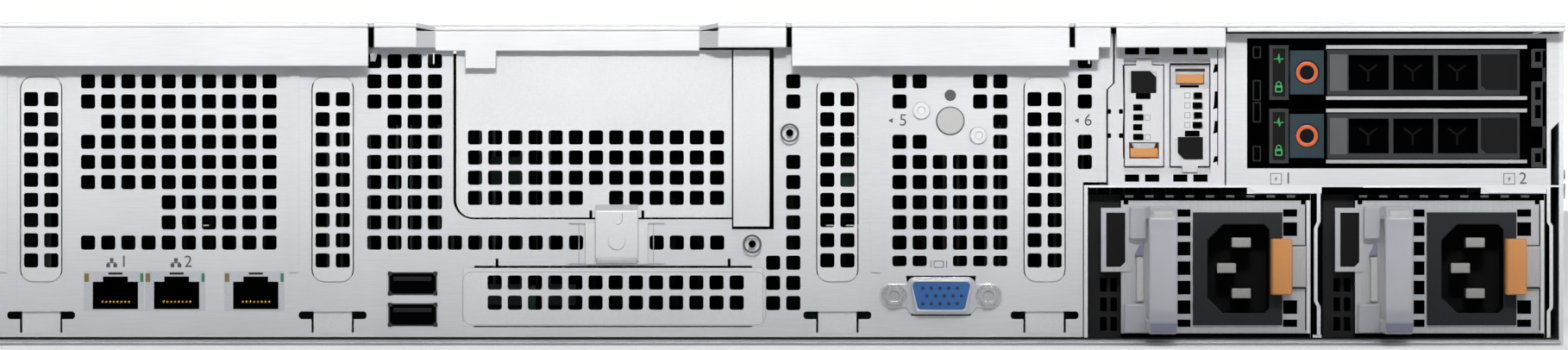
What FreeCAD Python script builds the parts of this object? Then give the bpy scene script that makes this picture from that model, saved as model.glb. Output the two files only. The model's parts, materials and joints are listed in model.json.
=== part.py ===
import FreeCAD, Part
import math
import operator
import os
import types

import Sketcher

# A 2U rack server, in millimetres. The rear wall looks towards -Y, +Z is up, and the origin is the centre of
# the base of the whole machine. Every size is a cell of the sheet below; the rest is worked out from them.
SIZES = {
    # case
    "body_w": 434.0, "body_h": 86.8, "wall_depth": 700.7, "handle_out": 35.8, "front_out": 22.0,
    "sheet": 1.2, "floor_t": 1.8, "play": 0.3, "ear_span": 482.4, "screw_r": 2.3,
    # cover: hoods and lips are folded over the rear wall
    "cover_front": 175.0, "hood_out": 8.0, "hood_drop": 11.6, "lip_drop": 6.6, "thin_drop": 2.4,
    "cover_dip": 0.9, "hood_left_x": -104.6, "raised_left_x": -103.1, "slit_long": 4.0,
    "dip_left_x": -86.7, "dip_w": 71.1, "dip_slope": 5.0, "dip_back": 4.0, "dip_long": 60.0,
    "raised_right_w": 18.4, "slit_w": 1.4, "hood_right_w": 74.7, "small_raised_w": 9.7, "small_tab_w": 7.9,
    "small_tab_drop": 3.4,
    "tab_x": -78.7, "tab_w": 8.4, "tab_drop": 4.7, "cover_slide": 12.0, "rim_h": 6.0, "dish_y": 330.0,
    "dish_w": 62.0, "dish_long": 84.0, "dish_deep": 7.0, "latch_t": 4.2, "latch_grip": 18.0,
    # rear wall and its vents
    "wall_t": 1.2, "wall_low": 2.3, "wall_high": 84.0, "vent": 3.86, "vent_step": 5.43, "vent_top": 73.1,
    "vents_left_x": -182.2, "vents_mid_x": -105.1, "vents_right_x": 36.3, "vents_post_x": 7.7,
    "vents_end_x": 86.2, "half_vent": 2.9, "ridge_w": 2.6, "ridge_out": 0.6, "ridge_low": 19.7,
    "ridge_high": 74.0,
    # expansion slots
    "slot_1_x": -199.4, "slot_2_x": -120.9, "slot_3_x": 15.0, "slot_4_x": 70.8, "slot_w": 13.0,
    "slot_low": 11.9, "slot_high": 73.5, "filler_w": 11.4, "filler_t": 0.9, "filler_low": 17.0,
    "filler_rows": 9, "filler_vent_top": 68.3, "tongue_w": 10.3, "foot_w": 18.3, "foot_h": 2.1,
    "foot_top": 9.2, "foot_round": 0.9, "filler_fold": 11.0, "recess_deep": 0.4, "slot_round": 3.5,
    "slot_rim": 0.9,
    # riser blank, clamp, port filler
    "blank_x": -81.1, "blank_w": 74.2, "blank_low": 34.5, "blank_high": 79.6, "blank_gap": 0.8,
    "blank_gap_low": 0.5, "notch_w": 0.8, "notch_h": 1.9, "clamp_bend": 1.8, "screw_hole_r": 1.0,
    "blank_corner": 4.6, "blank_vent_x": -78.0, "blank_vent_top": 58.0, "blank_columns": 13, "post_w": 9.7,
    "post_low": 32.1, "post_out": 1.5, "clamp_x": -43.7, "clamp_w": 11.6, "clamp_low": 22.7,
    "wing_x": -46.5, "wing_w": 17.1, "wing_low": 21.8, "wing_h": 11.4, "clamp_t": 1.0,
    "wing_t": 0.8, "clamp_screw_z": 28.1, "port_blank_x": -79.2, "port_blank_w": 80.6,
    "port_blank_low": 5.3, "port_blank_h": 15.6, "port_gap_side": 0.05, "port_gap_top": 0.55,
    "port_gap_low": 0.3, "port_gap_in": 2.9, "port_notch_in": 8.7, "port_vent_x": -72.7,
    "port_vent_top": 18.9,
    # sockets of the rear wall
    "rj_1_x": -181.4, "rj_2_x": -164.9, "rj_3_x": -143.6, "rj_w": 16.2, "rj_low": 9.2, "rj_h": 10.8,
    "rj_deep": 16.0, "rj_hole_left": 2.4, "rj_hole_w": 12.2, "rj_hole_h": 7.4, "rj_hole_deep": 12.5,
    "rj_key_w": 6.7, "rj_key_h": 1.4, "rj_rim": 0.6, "usb_x": -99.9, "usb_w": 13.9, "usb_h": 6.1,
    "usb_low_z": 5.2, "usb_high_z": 13.7, "usb_wall": 0.5, "usb_deep": 15.0, "usb_tongue_h": 1.0,
    "usb_tongue_w": 10.4, "vga_x": 40.3, "vga_w": 18.2, "vga_low": 8.3, "vga_h": 10.2, "vga_out": 4.0,
    "vga_deep": 8.0, "vga_wall": 1.0, "vga_slope": 1.4, "nut_out": 3.2, "nut_r": 2.7, "nut_gap": 4.0,
    "pin_r": 0.55, "pin_step": 2.3, "pin_row": 2.1, "id_x": 51.9, "id_z": 60.5, "id_r": 3.6, "id_long": 7.0,
    "id_travel": 1.0, "id_collar": 0.8,
    # boot module
    "boot_x": 94.4, "boot_w": 31.4, "boot_deep": 125.0, "boot_wall": 0.9, "carrier_w": 10.4,
    "carrier_h": 27.2, "carrier_low": 48.3, "carrier_1_x": 98.9, "carrier_step": 12.4,
    "carrier_deep": 112.0, "boot_tab_w": 4.2, "boot_tab_h": 1.7, "boot_latch_w": 7.4, "boot_latch_h": 2.5,
    "boot_latch_out": 3.0, "boot_latch_at": 2.4, "boot_travel": 1.2, "boot_sink": 2.0, "boot_gap": 0.5,
    "boot_jog": 1.8, "boot_jog_z": 70.7, "boot_vent_h": 2.0, "boot_vent_step": 13.0, "boot_label_h": 5.6,
    "label_1_low": 19.8, "label_2_low": 1.7, "socket_1_low": 7.0, "socket_2_low": 10.0, "socket_1_in": 2.3,
    "socket_2_in": 6.1, "socket_w": 2.5, "socket_step": 2.65,
    # rear drive cage
    "cage_x": 126.2, "cage_deep": 118.0, "cage_mouth_x": 131.8, "cage_mouth_w": 80.7,
    "cage_mouth_low": 47.7, "cage_mouth_deep": 12.0, "drive_x": 137.8, "drive_w": 69.4, "drive_h": 14.7,
    "drive_1_z": 66.2, "drive_2_z": 49.1, "drive_deep": 104.0, "face_t": 4.6, "lamp_w": 5.2,
    "button_w": 9.5, "button_h": 11.9, "button_out": 1.0, "button_travel": 1.5, "ring_r": 2.4,
    "ring_t": 0.8, "lever_h": 12.2, "lever_t": 3.4, "window_w": 10.8, "window_step": 12.0, "window_h": 9.4,
    "window_low": 1.4, "lever_end": 2.0, "pivot_r": 0.8, "pivot_out": 0.7, "cage_notch": 2.2,
    "cage_notch_z": 60.3, "lamp_rim": 0.9, "lamp_deep": 0.5,
    # power supplies
    "bay_x": 88.9, "bay_w": 60.6, "bay_low": 2.0, "bay_h": 40.7, "bay_step": 63.0, "bay_deep": 196.0,
    "bay_wall": 1.0, "bay_lip_in": 42.9, "bay_lip_h": 1.8, "psu_w": 59.4, "psu_h": 38.4, "psu_deep": 186.0,
    "psu_low": 2.2, "psu_notch": 8.4, "psu_notch_deep": 9.0, "psu_vent_w": 3.8, "psu_vent_h": 3.7,
    "psu_vent_step": 5.25, "psu_vent_rows": 5, "psu_vent_low": 6.3, "psu_half_h": 2.0, "psu_half_low": 2.8,
    "psu_half_high": 32.5, "psu_side_vent_x": 2.9, "psu_side_vent_w": 1.8, "psu_side_vent_step": 2.8,
    "psu_side_vent_low": 1.7, "psu_side_vent_rows": 3, "psu_nick": 1.3,
    "psu_vents_left": 23.3, "psu_vents_right": 52.0, "inlet_x": 27.7, "inlet_w": 24.1, "inlet_low": 3.3,
    "inlet_h": 30.4, "inlet_deep": 24.0, "inlet_out": 1.2, "mouth_x": 4.0, "mouth_w": 16.5,
    "mouth_low": 3.3, "mouth_h": 23.8, "mouth_deep": 17.0, "mouth_corner": 4.2, "mouth_bevel": 1.4,
    "blade_w": 5.2,
    "blade_t": 2.0, "blade_long": 14.0, "blade_in": 3.2, "blade_step": 7.0, "blade_left": 2.6,
    "blade_shift": 4.1, "handle_x": 15.1, "handle_w": 7.6, "handle_low": 1.2, "handle_h": 34.2,
    "handle_bar": 3.6, "handle_foot": 4.4, "handle_foot_h": 8.9, "handle_heel": 6.0, "handle_heel_h": 7.9,
    "handle_round": 3.0, "release_x": 48.5,
    "release_w": 5.7, "release_low": 11.5, "release_h": 15.1, "release_out": 9.0, "strap_w": 4.1,
    "strap_h": 11.1, "strap_t": 1.0, "tag_x": 3.0, "tag_w": 7.4, "tag_h": 17.2, "tag_low": 17.7,
    "tag_t": 0.8, "tag_rim": 1.3, "tag_deep": 0.3,
    # inside
    "standoff": 5.0, "standoff_r": 2.6, "board_t": 1.6, "board_gap": 18.0, "board_long": 420.0,
    "board_left": 5.0, "board_right": 3.0, "cpu_y": 300.0, "cpu_step": 190.0, "sink_w": 84.0,
    "sink_long": 104.0, "sink_base": 6.0, "sink_h": 52.0, "fin_t": 0.8, "fin_step": 4.0, "dimm_long": 133.4,
    "fin_count": 21.0, "dimm_h": 31.0, "dimm_t": 3.6, "dimm_step": 7.6, "dimm_count": 6,
    "dimm_socket": 5.0, "dimm_y": 285.0,
    "shroud_t": 1.4, "shroud_top": 76.0, "shroud_long": 190.0, "shroud_y": 245.0, "shroud_slope": 22.0,
    "shroud_w": 404.0, "riser_long": 170.0, "riser_h": 56.0, "riser_low": 14.0, "riser_1_x": -64.0,
    "riser_2_x": 31.0, "riser_in": 6.0, "riser_slot_w": 9.0, "riser_slot_long": 89.0, "fan_size": 80.0,
    "fan_deep": 38.0, "fan_step": 100.0, "fan_y": 250.0, "duct_r": 37.6, "fan_hub_r": 16.0, "rotor_r": 34.5,
    "rotor_hub_r": 17.0, "rotor_deep": 24.0, "blade_count": 7, "strut_w": 4.0, "strut_deep": 4.0,
    # front
    "bay_columns": 4, "bay_rows": 3, "front_deep": 158.0, "bay_pitch": 104.0, "row_pitch": 27.9,
    "rib_t": 1.0, "drive3_w": 101.8, "drive3_h": 26.0, "drive3_deep": 150.0, "drive3_face": 9.0,
    "grip_w": 78.0, "grip_h": 16.0, "grip_t": 5.0, "grip_end": 3.2, "blank_wall": 1.4, "backplane_t": 2.4,
    "backplane_gap": 2.0, "backplane_h": 78.0, "slot_vent_w": 40.0, "slot_vent_h": 5.0, "ear_wide": 30.0,
    "rack_latch_w": 15.0, "rack_latch_h": 34.0, "rack_latch_t": 8.0, "rack_latch_low": 12.0,
    "rack_latch_gap": 1.2, "ear_step": 1.0, "rack_latch_rim": 2.0, "power_r": 5.0, "power_z": 66.0,
    "power_travel": 1.0, "side_vent_count": 5.0,
    "stud_r": 2.4, "stud_head_r": 4.0, "stud_out": 3.4, "stud_head": 1.0, "stud_z": 43.4,
    "stud_first": 60.0, "stud_step": 190.0, "stud_count": 4,
}
SLOTS = ("slot_1_x", "slot_2_x", "slot_3_x", "slot_4_x")
NETWORK_PORTS = ("rj_1_x", "rj_2_x", "rj_3_x")
PANEL_SCREWS = ((8.7, 57.3), (-1.4, 27.4), (44.1, 63.3), (59.6, 56.6))
FANS = 4
OPERATORS = {"+": operator.add, "-": operator.sub, "*": operator.mul, "/": operator.truediv}
PLANES = {"XY": "XY_Plane", "XZ": "XZ_Plane", "YZ": "YZ_Plane"}
TURN = 2 * math.pi


class Size:
    """A length or count: its value now, and the sheet's expression that gives it."""

    def __init__(self, value, text):
        self.value, self.text = value, text

    def __add__(self, other):
        return combine(self, "+", other)

    def __radd__(self, other):
        return combine(other, "+", self)

    def __sub__(self, other):
        return combine(self, "-", other)

    def __rsub__(self, other):
        return combine(other, "-", self)

    def __mul__(self, other):
        return combine(self, "*", other)

    def __rmul__(self, other):
        return combine(other, "*", self)

    def __truediv__(self, other):
        return combine(self, "/", other)

    def __neg__(self):
        return combine(0, "-", self)


def as_size(number):
    return number if isinstance(number, Size) else Size(float(number), repr(float(number)))


def combine(left, sign, right):
    left, right = as_size(left), as_size(right)
    return Size(OPERATORS[sign](left.value, right.value), f"({left.text} {sign} {right.text})")


def fill_sheet(document):
    """Writes the sizes to the document's sheet, and gives each back by name."""
    cells = document.addObject("Spreadsheet::Sheet", "Sizes")
    for line, (name, value) in enumerate(SIZES.items(), 1):
        cells.set(f"A{line}", name)
        cells.set(f"B{line}", str(value))
        cells.setAlias(f"B{line}", name)
    document.recompute()
    return types.SimpleNamespace(**{name: Size(float(cells.get(name)), f"Sizes.{name}") for name in SIZES})


doc = FreeCAD.newDocument("RackServer")
S = fill_sheet(doc)
subparts = []

# Places that many pieces share.
half = S.body_w / 2
inner = half - S.sheet
y_back = -(S.handle_out + S.wall_depth + S.front_out) / 2
y_wall = y_back + S.handle_out
y_inside = y_wall + S.wall_t
y_ear = y_wall + S.wall_depth
y_front = y_ear + S.front_out
cover_low = S.body_h - S.sheet
board_z = S.floor_t + S.standoff
roof_z = S.bay_low + S.bay_h + S.bay_wall / 2
fan_low = S.floor_t + S.play
bays_left = -S.bay_pitch * S.bay_columns / 2
columns, rows = int(S.bay_columns.value), int(S.bay_rows.value)


# ---- drawing aids

def rect(x, y, wide, high):
    return ("outline", [(x, y), (x + wide, y), (x + wide, y + high), (x, y + high)])


def outline(*points):
    return ("outline", list(points))


def disc(x, y, radius):
    return ("disc", x, y, radius)


def bind(item, name, size):
    item.setExpression(name, as_size(size).text)


def fix(sketch, kind, owner, size):
    """Ties one place in a sketch to a size."""
    number = sketch.addConstraint(Sketcher.Constraint(kind, *owner, as_size(size).value))
    bind(sketch, f"Constraints[{number}]", size)


def draw(sketch, shape):
    first = sketch.GeometryCount
    if shape[0] == "disc":
        x, y, radius = (as_size(size) for size in shape[1:])
        centre = FreeCAD.Vector(x.value, y.value, 0)
        sketch.addGeometry(Part.Circle(centre, FreeCAD.Vector(0, 0, 1), radius.value), False)
        fix(sketch, "DistanceX", (-1, 1, first, 3), x)
        fix(sketch, "DistanceY", (-1, 1, first, 3), y)
        fix(sketch, "Radius", (first,), radius)
        return
    points = [(as_size(x), as_size(y)) for x, y in shape[1]]
    for (x, y), (next_x, next_y) in zip(points, points[1:] + points[:1]):
        start, end = FreeCAD.Vector(x.value, y.value, 0), FreeCAD.Vector(next_x.value, next_y.value, 0)
        sketch.addGeometry(Part.LineSegment(start, end), False)
    for number in range(len(points)):
        following = first + (number + 1) % len(points)
        sketch.addConstraint(Sketcher.Constraint("Coincident", first + number, 2, following, 1))
    for number, (x, y) in enumerate(points):
        fix(sketch, "DistanceX", (-1, 1, first + number, 1), x)
        fix(sketch, "DistanceY", (-1, 1, first + number, 1), y)


def sketch_on(body, plane, at, shapes):
    """A sketch across the body, at a place along X, Y or Z."""
    sketch = body.newObject("Sketcher::SketchObject", "Sketch")
    origin_plane = next(item for item in body.Origin.OriginFeatures if item.Role == PLANES[plane])
    sketch.AttachmentSupport = [(origin_plane, "")]
    sketch.MapMode = "FlatFace"
    bind(sketch, "AttachmentOffset.Base.z", -at if plane == "XZ" else at)
    for shape in shapes:
        draw(sketch, shape)
    return sketch


def body_named(label):
    body = doc.addObject("PartDesign::Body", label)
    body.Label = label
    body.AllowCompound = True
    subparts.append(body)
    return body


def pad(body, plane, at, length, *shapes):
    """Adds material from a plane at `at`, towards +X, +Y or +Z."""
    feature = body.newObject("PartDesign::Pad", "Pad")
    feature.Profile = sketch_on(body, plane, at, shapes)
    feature.Reversed = plane == "XZ"
    bind(feature, "Length", length)
    return feature


def pocket(body, plane, at, length, *shapes):
    """Takes material away from a plane at `at`, towards +X, +Y or +Z."""
    feature = body.newObject("PartDesign::Pocket", "Pocket")
    feature.Profile = sketch_on(body, plane, at, shapes)
    feature.Reversed = plane != "XZ"
    bind(feature, "Length", length)
    return feature


def in_a_row(body, feature, axis, step, count):
    """Repeats a feature along its sketch's H_Axis or V_Axis."""
    pattern = body.newObject("PartDesign::LinearPattern", "Row")
    pattern.Originals = [feature]
    pattern.Direction = (feature.Profile[0], [axis])
    pattern.Mode = "Spacing"
    bind(pattern, "Offset", step)
    bind(pattern, "Occurrences", count)
    body.Tip = pattern
    return pattern


def block(x, y, z, wide, deep, high):
    box = doc.addObject("Part::Box", "Block")
    for name, size in (("Length", wide), ("Width", deep), ("Height", high)):
        bind(box, name, size)
    return place(box, x, y, z)


def rod(x, y, z, radius, long, axis="Y"):
    """A round bar from the point along +X, +Y or +Z."""
    cylinder = doc.addObject("Part::Cylinder", "Rod")
    bind(cylinder, "Radius", radius)
    bind(cylinder, "Height", long)
    turns = {"X": ((0, 1, 0), 90), "Y": ((1, 0, 0), -90), "Z": ((0, 0, 1), 0)}
    direction, angle = turns[axis]
    cylinder.Placement.Rotation = FreeCAD.Rotation(FreeCAD.Vector(*direction), angle)
    return place(cylinder, x, y, z)


def place(item, x, y, z):
    for name, size in (("x", x), ("y", y), ("z", z)):
        bind(item, f"Placement.Base.{name}", size)
    return item


def cut(base, *tools):
    result = doc.addObject("Part::Cut", "Cut")
    result.Base = base
    result.Tool = tools[0] if len(tools) == 1 else group(*tools)
    return result


def fuse(*pieces):
    result = doc.addObject("Part::MultiFuse", "Fusion")
    result.Shapes = list(pieces)
    return result


def group(*pieces):
    result = doc.addObject("Part::Compound", "Group")
    result.Links = list(pieces)
    return result


def named(label, *pieces):
    result = pieces[0] if len(pieces) == 1 else group(*pieces)
    result.Label = label
    subparts.append(result)
    return result


def corners_of(points):
    return [FreeCAD.Vector(as_size(x).value, 0, as_size(z).value) for x, z in points]


def wire(points):
    if isinstance(points, Part.Wire):
        return points
    corners = corners_of(points)
    return Part.makePolygon(corners + corners[:1])


def rounded(points, radii):
    """An outline with square corners, rounded where `radii` gives a radius for a corner's number."""
    corners = corners_of(points)
    edges, ends = [], []
    for number, corner in enumerate(corners):
        radius = as_size(radii.get(number, 0)).value
        back = (corners[number - 1] - corner).normalize() * radius
        ahead = (corners[(number + 1) % len(corners)] - corner).normalize() * radius
        ends.append((corner + back, corner + ahead))
        if radius:
            middle = corner + (back + ahead) * (1 - math.sqrt(0.5))
            edges.append(Part.Arc(corner + back, middle, corner + ahead).toShape())
    for (_, start), (end, _) in zip(ends, ends[1:] + ends[:1]):
        edges.append(Part.makeLine(start, end))
    return Part.Wire(Part.__sortEdges__(edges))


def sheet_shape(edge, holes, thickness):
    """A flat sheet across Y with square-cornered holes, its outer face at y = 0."""
    face = Part.makeFace([wire(edge)] + [wire(hole) for hole in holes], "Part::FaceMakerBullseye")
    return face.extrude(FreeCAD.Vector(0, thickness.value, 0))


def feature_named(label, shape, y):
    """A sub-part whose shape is set from code; its place stays tied to the sheet."""
    feature = doc.addObject("Part::Feature", label)
    feature.Label = label
    feature.Shape = shape
    bind(feature, "Placement.Base.y", y)
    subparts.append(feature)
    return feature


def hole(x, z, wide, high):
    return rect(x, z, wide, high)[1]


def vents(first_x, top, columns, rows, left_out=()):
    """Square vents in columns and rows, counted from the top left."""
    return [hole(first_x + S.vent_step * column, top - S.vent_step * row - S.vent, S.vent, S.vent)
            for column in columns for row in rows if (column, row) not in left_out]


# ---- case

def base_tray():
    tray = body_named("base_tray")
    wall_top = cover_low - S.play
    pad(tray, "XZ", y_wall, S.wall_depth, outline(
        (-half, 0), (half, 0), (half, wall_top), (inner, wall_top), (inner, S.floor_t),
        (-inner, S.floor_t), (-inner, wall_top), (-half, wall_top)))
    window = S.row_pitch / 2
    side_vents = pocket(tray, "YZ", -half, S.body_w, rect(y_ear - S.front_deep, window, window, window / 2))
    in_a_row(tray, side_vents, "H_Axis", window * 2, S.side_vent_count)


def cover_lines():
    """Where the parts of the cover's rear edge start and end, from left to right."""
    dip_right = S.dip_left_x + S.dip_w
    right_slit = dip_right + S.dip_slope + S.raised_right_w
    hood_right = right_slit + S.slit_w
    small_raised = hood_right + S.hood_right_w + S.slit_w
    return types.SimpleNamespace(
        raised_left=S.dip_left_x - S.dip_slope, dip_right=dip_right, raised_right=dip_right + S.dip_slope,
        right_slit=right_slit, hood_right=hood_right, small_raised=small_raised,
        boot_hood=small_raised + S.small_raised_w + S.slit_w)


def top_cover():
    """The sliding lid: a sheet that dips at the rear edge, with side rims and a dish for its latch."""
    cover = body_named("top_cover")
    top, y_hood, cover_end = S.body_h, y_wall - S.hood_out, y_ear - S.cover_front
    at = cover_lines()
    low = top - S.cover_dip
    pad(cover, "XZ", y_hood, S.dip_long, outline(
        (-half, cover_low), (at.raised_left, cover_low), (S.dip_left_x, low - S.sheet),
        (at.dip_right, low - S.sheet), (at.raised_right, cover_low), (half, cover_low), (half, top),
        (at.raised_right, top), (at.dip_right, low), (S.dip_left_x, low), (at.raised_left, top),
        (-half, top)))
    pad(cover, "XY", cover_low, S.sheet, rect(-half, y_hood + S.dip_long, S.body_w,
                                              cover_end - y_hood - S.dip_long))
    pocket(cover, "XY", cover_low - S.sheet, S.sheet * 2, outline(
        (at.raised_left, y_hood), (at.raised_right, y_hood), (at.dip_right, y_hood + S.dip_back),
        (S.dip_left_x, y_hood + S.dip_back)))
    pocket(cover, "XZ", y_hood, S.slit_long, *[
        rect(x, cover_low, S.slit_w, S.sheet)
        for x in (S.hood_left_x, at.right_slit, at.small_raised - S.slit_w)])
    rim_y = y_wall + S.boot_deep + S.cover_slide + S.play
    rim_long = cover_end - rim_y
    rim_x = inner - S.play - S.sheet
    pad(cover, "XY", cover_low - S.rim_h, S.rim_h, rect(-rim_x - S.sheet, rim_y, S.sheet, rim_long),
        rect(rim_x, rim_y, S.sheet, rim_long))
    dish_x, dish_y = -S.dish_w / 2, y_wall + S.dish_y
    dish_floor = top - S.dish_deep - S.sheet
    pad(cover, "XY", dish_floor, S.dish_deep, rect(dish_x - S.sheet, dish_y - S.sheet,
                                                   S.dish_w + S.sheet * 2, S.dish_long + S.sheet * 2))
    pocket(cover, "XY", dish_floor + S.sheet, S.dish_deep, rect(dish_x, dish_y, S.dish_w, S.dish_long))


def cover_lips():
    """The folds under the cover's rear edge: deep hoods, lips set back in the middle, and two tabs."""
    lips = body_named("cover_lips")
    at, y_hood = cover_lines(), y_wall - S.hood_out
    y_dip, low = y_hood + S.dip_back, S.body_h - S.cover_dip
    folds = (
        (-half, S.hood_left_x + half, S.hood_drop),
        (S.raised_left_x, at.raised_left - S.raised_left_x, S.lip_drop),
        (at.raised_right, S.raised_right_w, S.lip_drop),
        (at.hood_right, S.hood_right_w, S.hood_drop),
        (at.small_raised, S.small_raised_w, S.lip_drop),
        (at.boot_hood, S.cage_x - S.play - at.boot_hood, S.lip_drop),
        (S.cage_x, half - S.cage_x, S.thin_drop),
    )
    for x, wide, drop in folds:
        pad(lips, "XZ", y_hood, S.sheet, rect(x, S.body_h - drop, wide, drop - S.sheet))
    pad(lips, "XZ", y_dip, S.sheet, rect(S.dip_left_x, low - S.lip_drop, S.dip_w, S.lip_drop - S.sheet))
    for outer, dip in ((at.raised_left, S.dip_left_x), (at.raised_right, at.dip_right)):
        pad(lips, "XY", S.body_h - S.lip_drop, S.lip_drop - S.cover_dip - S.sheet, outline(
            (outer, y_hood), (dip, y_dip), (dip, y_dip + S.sheet), (outer, y_hood + S.sheet)))
    pad(lips, "XZ", y_dip, S.sheet, rect(S.tab_x, low - S.lip_drop - S.tab_drop, S.tab_w, S.tab_drop))
    pad(lips, "XZ", y_hood, S.sheet,
        rect(at.small_raised - S.slit_w, S.body_h - S.lip_drop - S.small_tab_drop, S.small_tab_w,
             S.small_tab_drop))


def cover_latch():
    """The cover's lever, flush in its dish, hinged at its rear edge."""
    latch = body_named("cover_latch")
    low = S.body_h - S.dish_deep + S.play
    clear = S.play * 2
    wide, long = S.dish_w - clear * 2, S.dish_long - clear * 2
    x, y = -wide / 2, y_wall + S.dish_y + clear
    pin = S.latch_t / 2
    pad(latch, "XY", low, S.latch_t, rect(x, y + pin, wide, long - pin))
    pad(latch, "YZ", x, wide, disc(y + pin, low + pin, pin))
    pocket(latch, "XY", low, S.latch_t, rect(-S.latch_grip, y + long - S.latch_grip, S.latch_grip * 2,
                                             S.latch_grip / 2))


# ---- rear wall

def foot_cut(slot_x):
    """The I-shaped opening that a slot filler's tongue stands in."""
    left = slot_x + S.slot_w / 2 - S.foot_w / 2
    stem = slot_x + (S.slot_w - S.filler_w) / 2
    low = S.wall_low + S.sheet
    top = S.foot_top - S.foot_h
    return rounded(
        [(stem, low), (stem + S.filler_w, low), (stem + S.filler_w, top), (left + S.foot_w, top),
         (left + S.foot_w, S.foot_top), (left, S.foot_top), (left, top), (stem, top)],
        dict.fromkeys((3, 4, 5, 6), S.foot_round))


def slot_edge(slot_x, margin):
    """The rounded edge of a slot's opening, or with a margin that of the plate which stands in it."""
    x = slot_x + (S.slot_w - S.filler_w) / 2 + margin
    low, high = S.filler_low + margin, S.slot_high - S.slot_rim - margin
    corners = hole(x, low, S.filler_w - margin * 2, high - low)
    return rounded(corners, dict.fromkeys(range(4), S.slot_round - margin))


def port_edge():
    """The opening of the port filler: close at its ends, with a gap above and below and two notches."""
    side, inset = S.port_gap_side, S.port_gap_in
    left, right = S.port_blank_x - side, S.port_blank_x + S.port_blank_w + side
    low, top = S.port_blank_low - side, S.port_blank_low + S.port_blank_h + side
    above, below = top + S.port_gap_top, low - S.port_gap_low
    notch_1, notch_2 = left + S.port_notch_in, right - S.port_notch_in - S.notch_w
    edge = [(left, low), (left + inset, low), (left + inset, below), (right - inset, below),
            (right - inset, low), (right, low), (right, top), (right - inset, top), (right - inset, above)]
    for notch in (notch_2, notch_1):
        edge += [(notch + S.notch_w, above), (notch + S.notch_w, above + S.notch_h),
                 (notch, above + S.notch_h), (notch, above)]
    return edge + [(left + inset, above), (left + inset, top), (left, top)]


def riser_edge():
    """The opening of the riser blank and of the post beside it."""
    gap, low = S.blank_gap, S.blank_low - S.blank_gap_low
    post_left = S.blank_x + S.blank_w
    post_right, post_low = post_left + S.post_w + gap * 2, S.post_low - gap
    return rounded([(S.blank_x - gap, low), (post_left, low), (post_left, post_low), (post_right, post_low),
                    (post_right, S.blank_high + gap), (S.blank_x - gap, S.blank_high + gap)],
                   {0: S.blank_corner + gap})


def rear_panel():
    boot_gap = S.boot_x - S.boot_gap
    bay_gap = S.bay_x - S.bay_wall - S.play
    above_bays = S.bay_low + S.bay_h + S.bay_wall + S.play
    edge = [(-inner, S.wall_low), (bay_gap, S.wall_low), (bay_gap, above_bays), (boot_gap, above_bays),
            (boot_gap, S.boot_jog_z - S.boot_jog), (boot_gap + S.boot_jog, S.boot_jog_z),
            (boot_gap + S.boot_jog, S.wall_high), (-inner, S.wall_high)]
    holes = [slot_edge(getattr(S, name), 0) for name in SLOTS]
    holes += [foot_cut(getattr(S, name)) for name in SLOTS]
    holes += [hole(getattr(S, name), S.rj_low, S.rj_w, S.rj_h) for name in NETWORK_PORTS]
    holes += [hole(S.usb_x, low, S.usb_w, S.usb_h) for low in (S.usb_low_z, S.usb_high_z)]
    holes.append(vga_edge(S.play))
    holes += [riser_edge(), port_edge()]
    holes += vents(S.vents_left_x, S.vent_top, range(10), range(9),
                   {(0, 2), (0, 6), (1, 6), (2, 6), (3, 6), (0, 7), (1, 7), (2, 7), (3, 7)})
    holes += vents(S.vents_mid_x, S.vent_top, range(4), range(-1, 9), {(0, 2)})
    holes += vents(S.vents_mid_x, S.vent_top, (4, 5, 6, 7, 8, 9, 10, 14, 15, 16, 17), (8,))
    holes += vents(S.vents_post_x, S.vent_top, (0,), (0, 1, 4, 5, 6, 7, 8, 9, 10, 11))
    holes += vents(S.vents_post_x - S.vent_step, S.vent_top, (0,), (9, 10, 11))
    holes += vents(S.vents_right_x, S.vent_top, range(6), range(9),
                   {(2, 0), (3, 0), (1, 1), (2, 1), (3, 1), (0, 2), (1, 2), (2, 2), (3, 2), (4, 2),
                    (2, 3), (3, 3), (4, 3)})
    row_ten = S.vent_top - S.vent_step * 9 - S.half_vent
    holes += [hole(S.vents_right_x + S.vent_step * column, row_ten, S.vent, S.half_vent)
              for column in (0, 1, 3, 4, 5)]
    holes += vents(S.vents_end_x, S.vent_top, (0,), (-1, 0, 1, 3, 4))
    panel = sheet_shape(edge, holes, S.wall_t)
    pin_hole = Part.makeCylinder(S.id_r.value + S.play.value, S.wall_t.value,
                                 FreeCAD.Vector(S.id_x.value, 0, S.id_z.value), FreeCAD.Vector(0, 1, 0))
    panel = panel.cut(pin_hole)
    out, low = S.ridge_out.value, S.ridge_low.value
    ridges = [Part.makeBox(S.ridge_w.value, out, S.ridge_high.value - low,
                           FreeCAD.Vector((slot - S.ridge_w * 2).value, -out, low))
              for slot in (S.slot_1_x, S.slot_2_x, S.slot_3_x + S.slot_w + S.ridge_w * 3)]
    recesses = [Part.makeBox(S.slot_w.value, S.recess_deep.value, (S.slot_high - S.slot_low).value,
                             FreeCAD.Vector(getattr(S, name).value, 0, S.slot_low.value)) for name in SLOTS]
    feature_named("rear_panel", panel.fuse(ridges).cut(recesses).removeSplitter(), y_wall)


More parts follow.
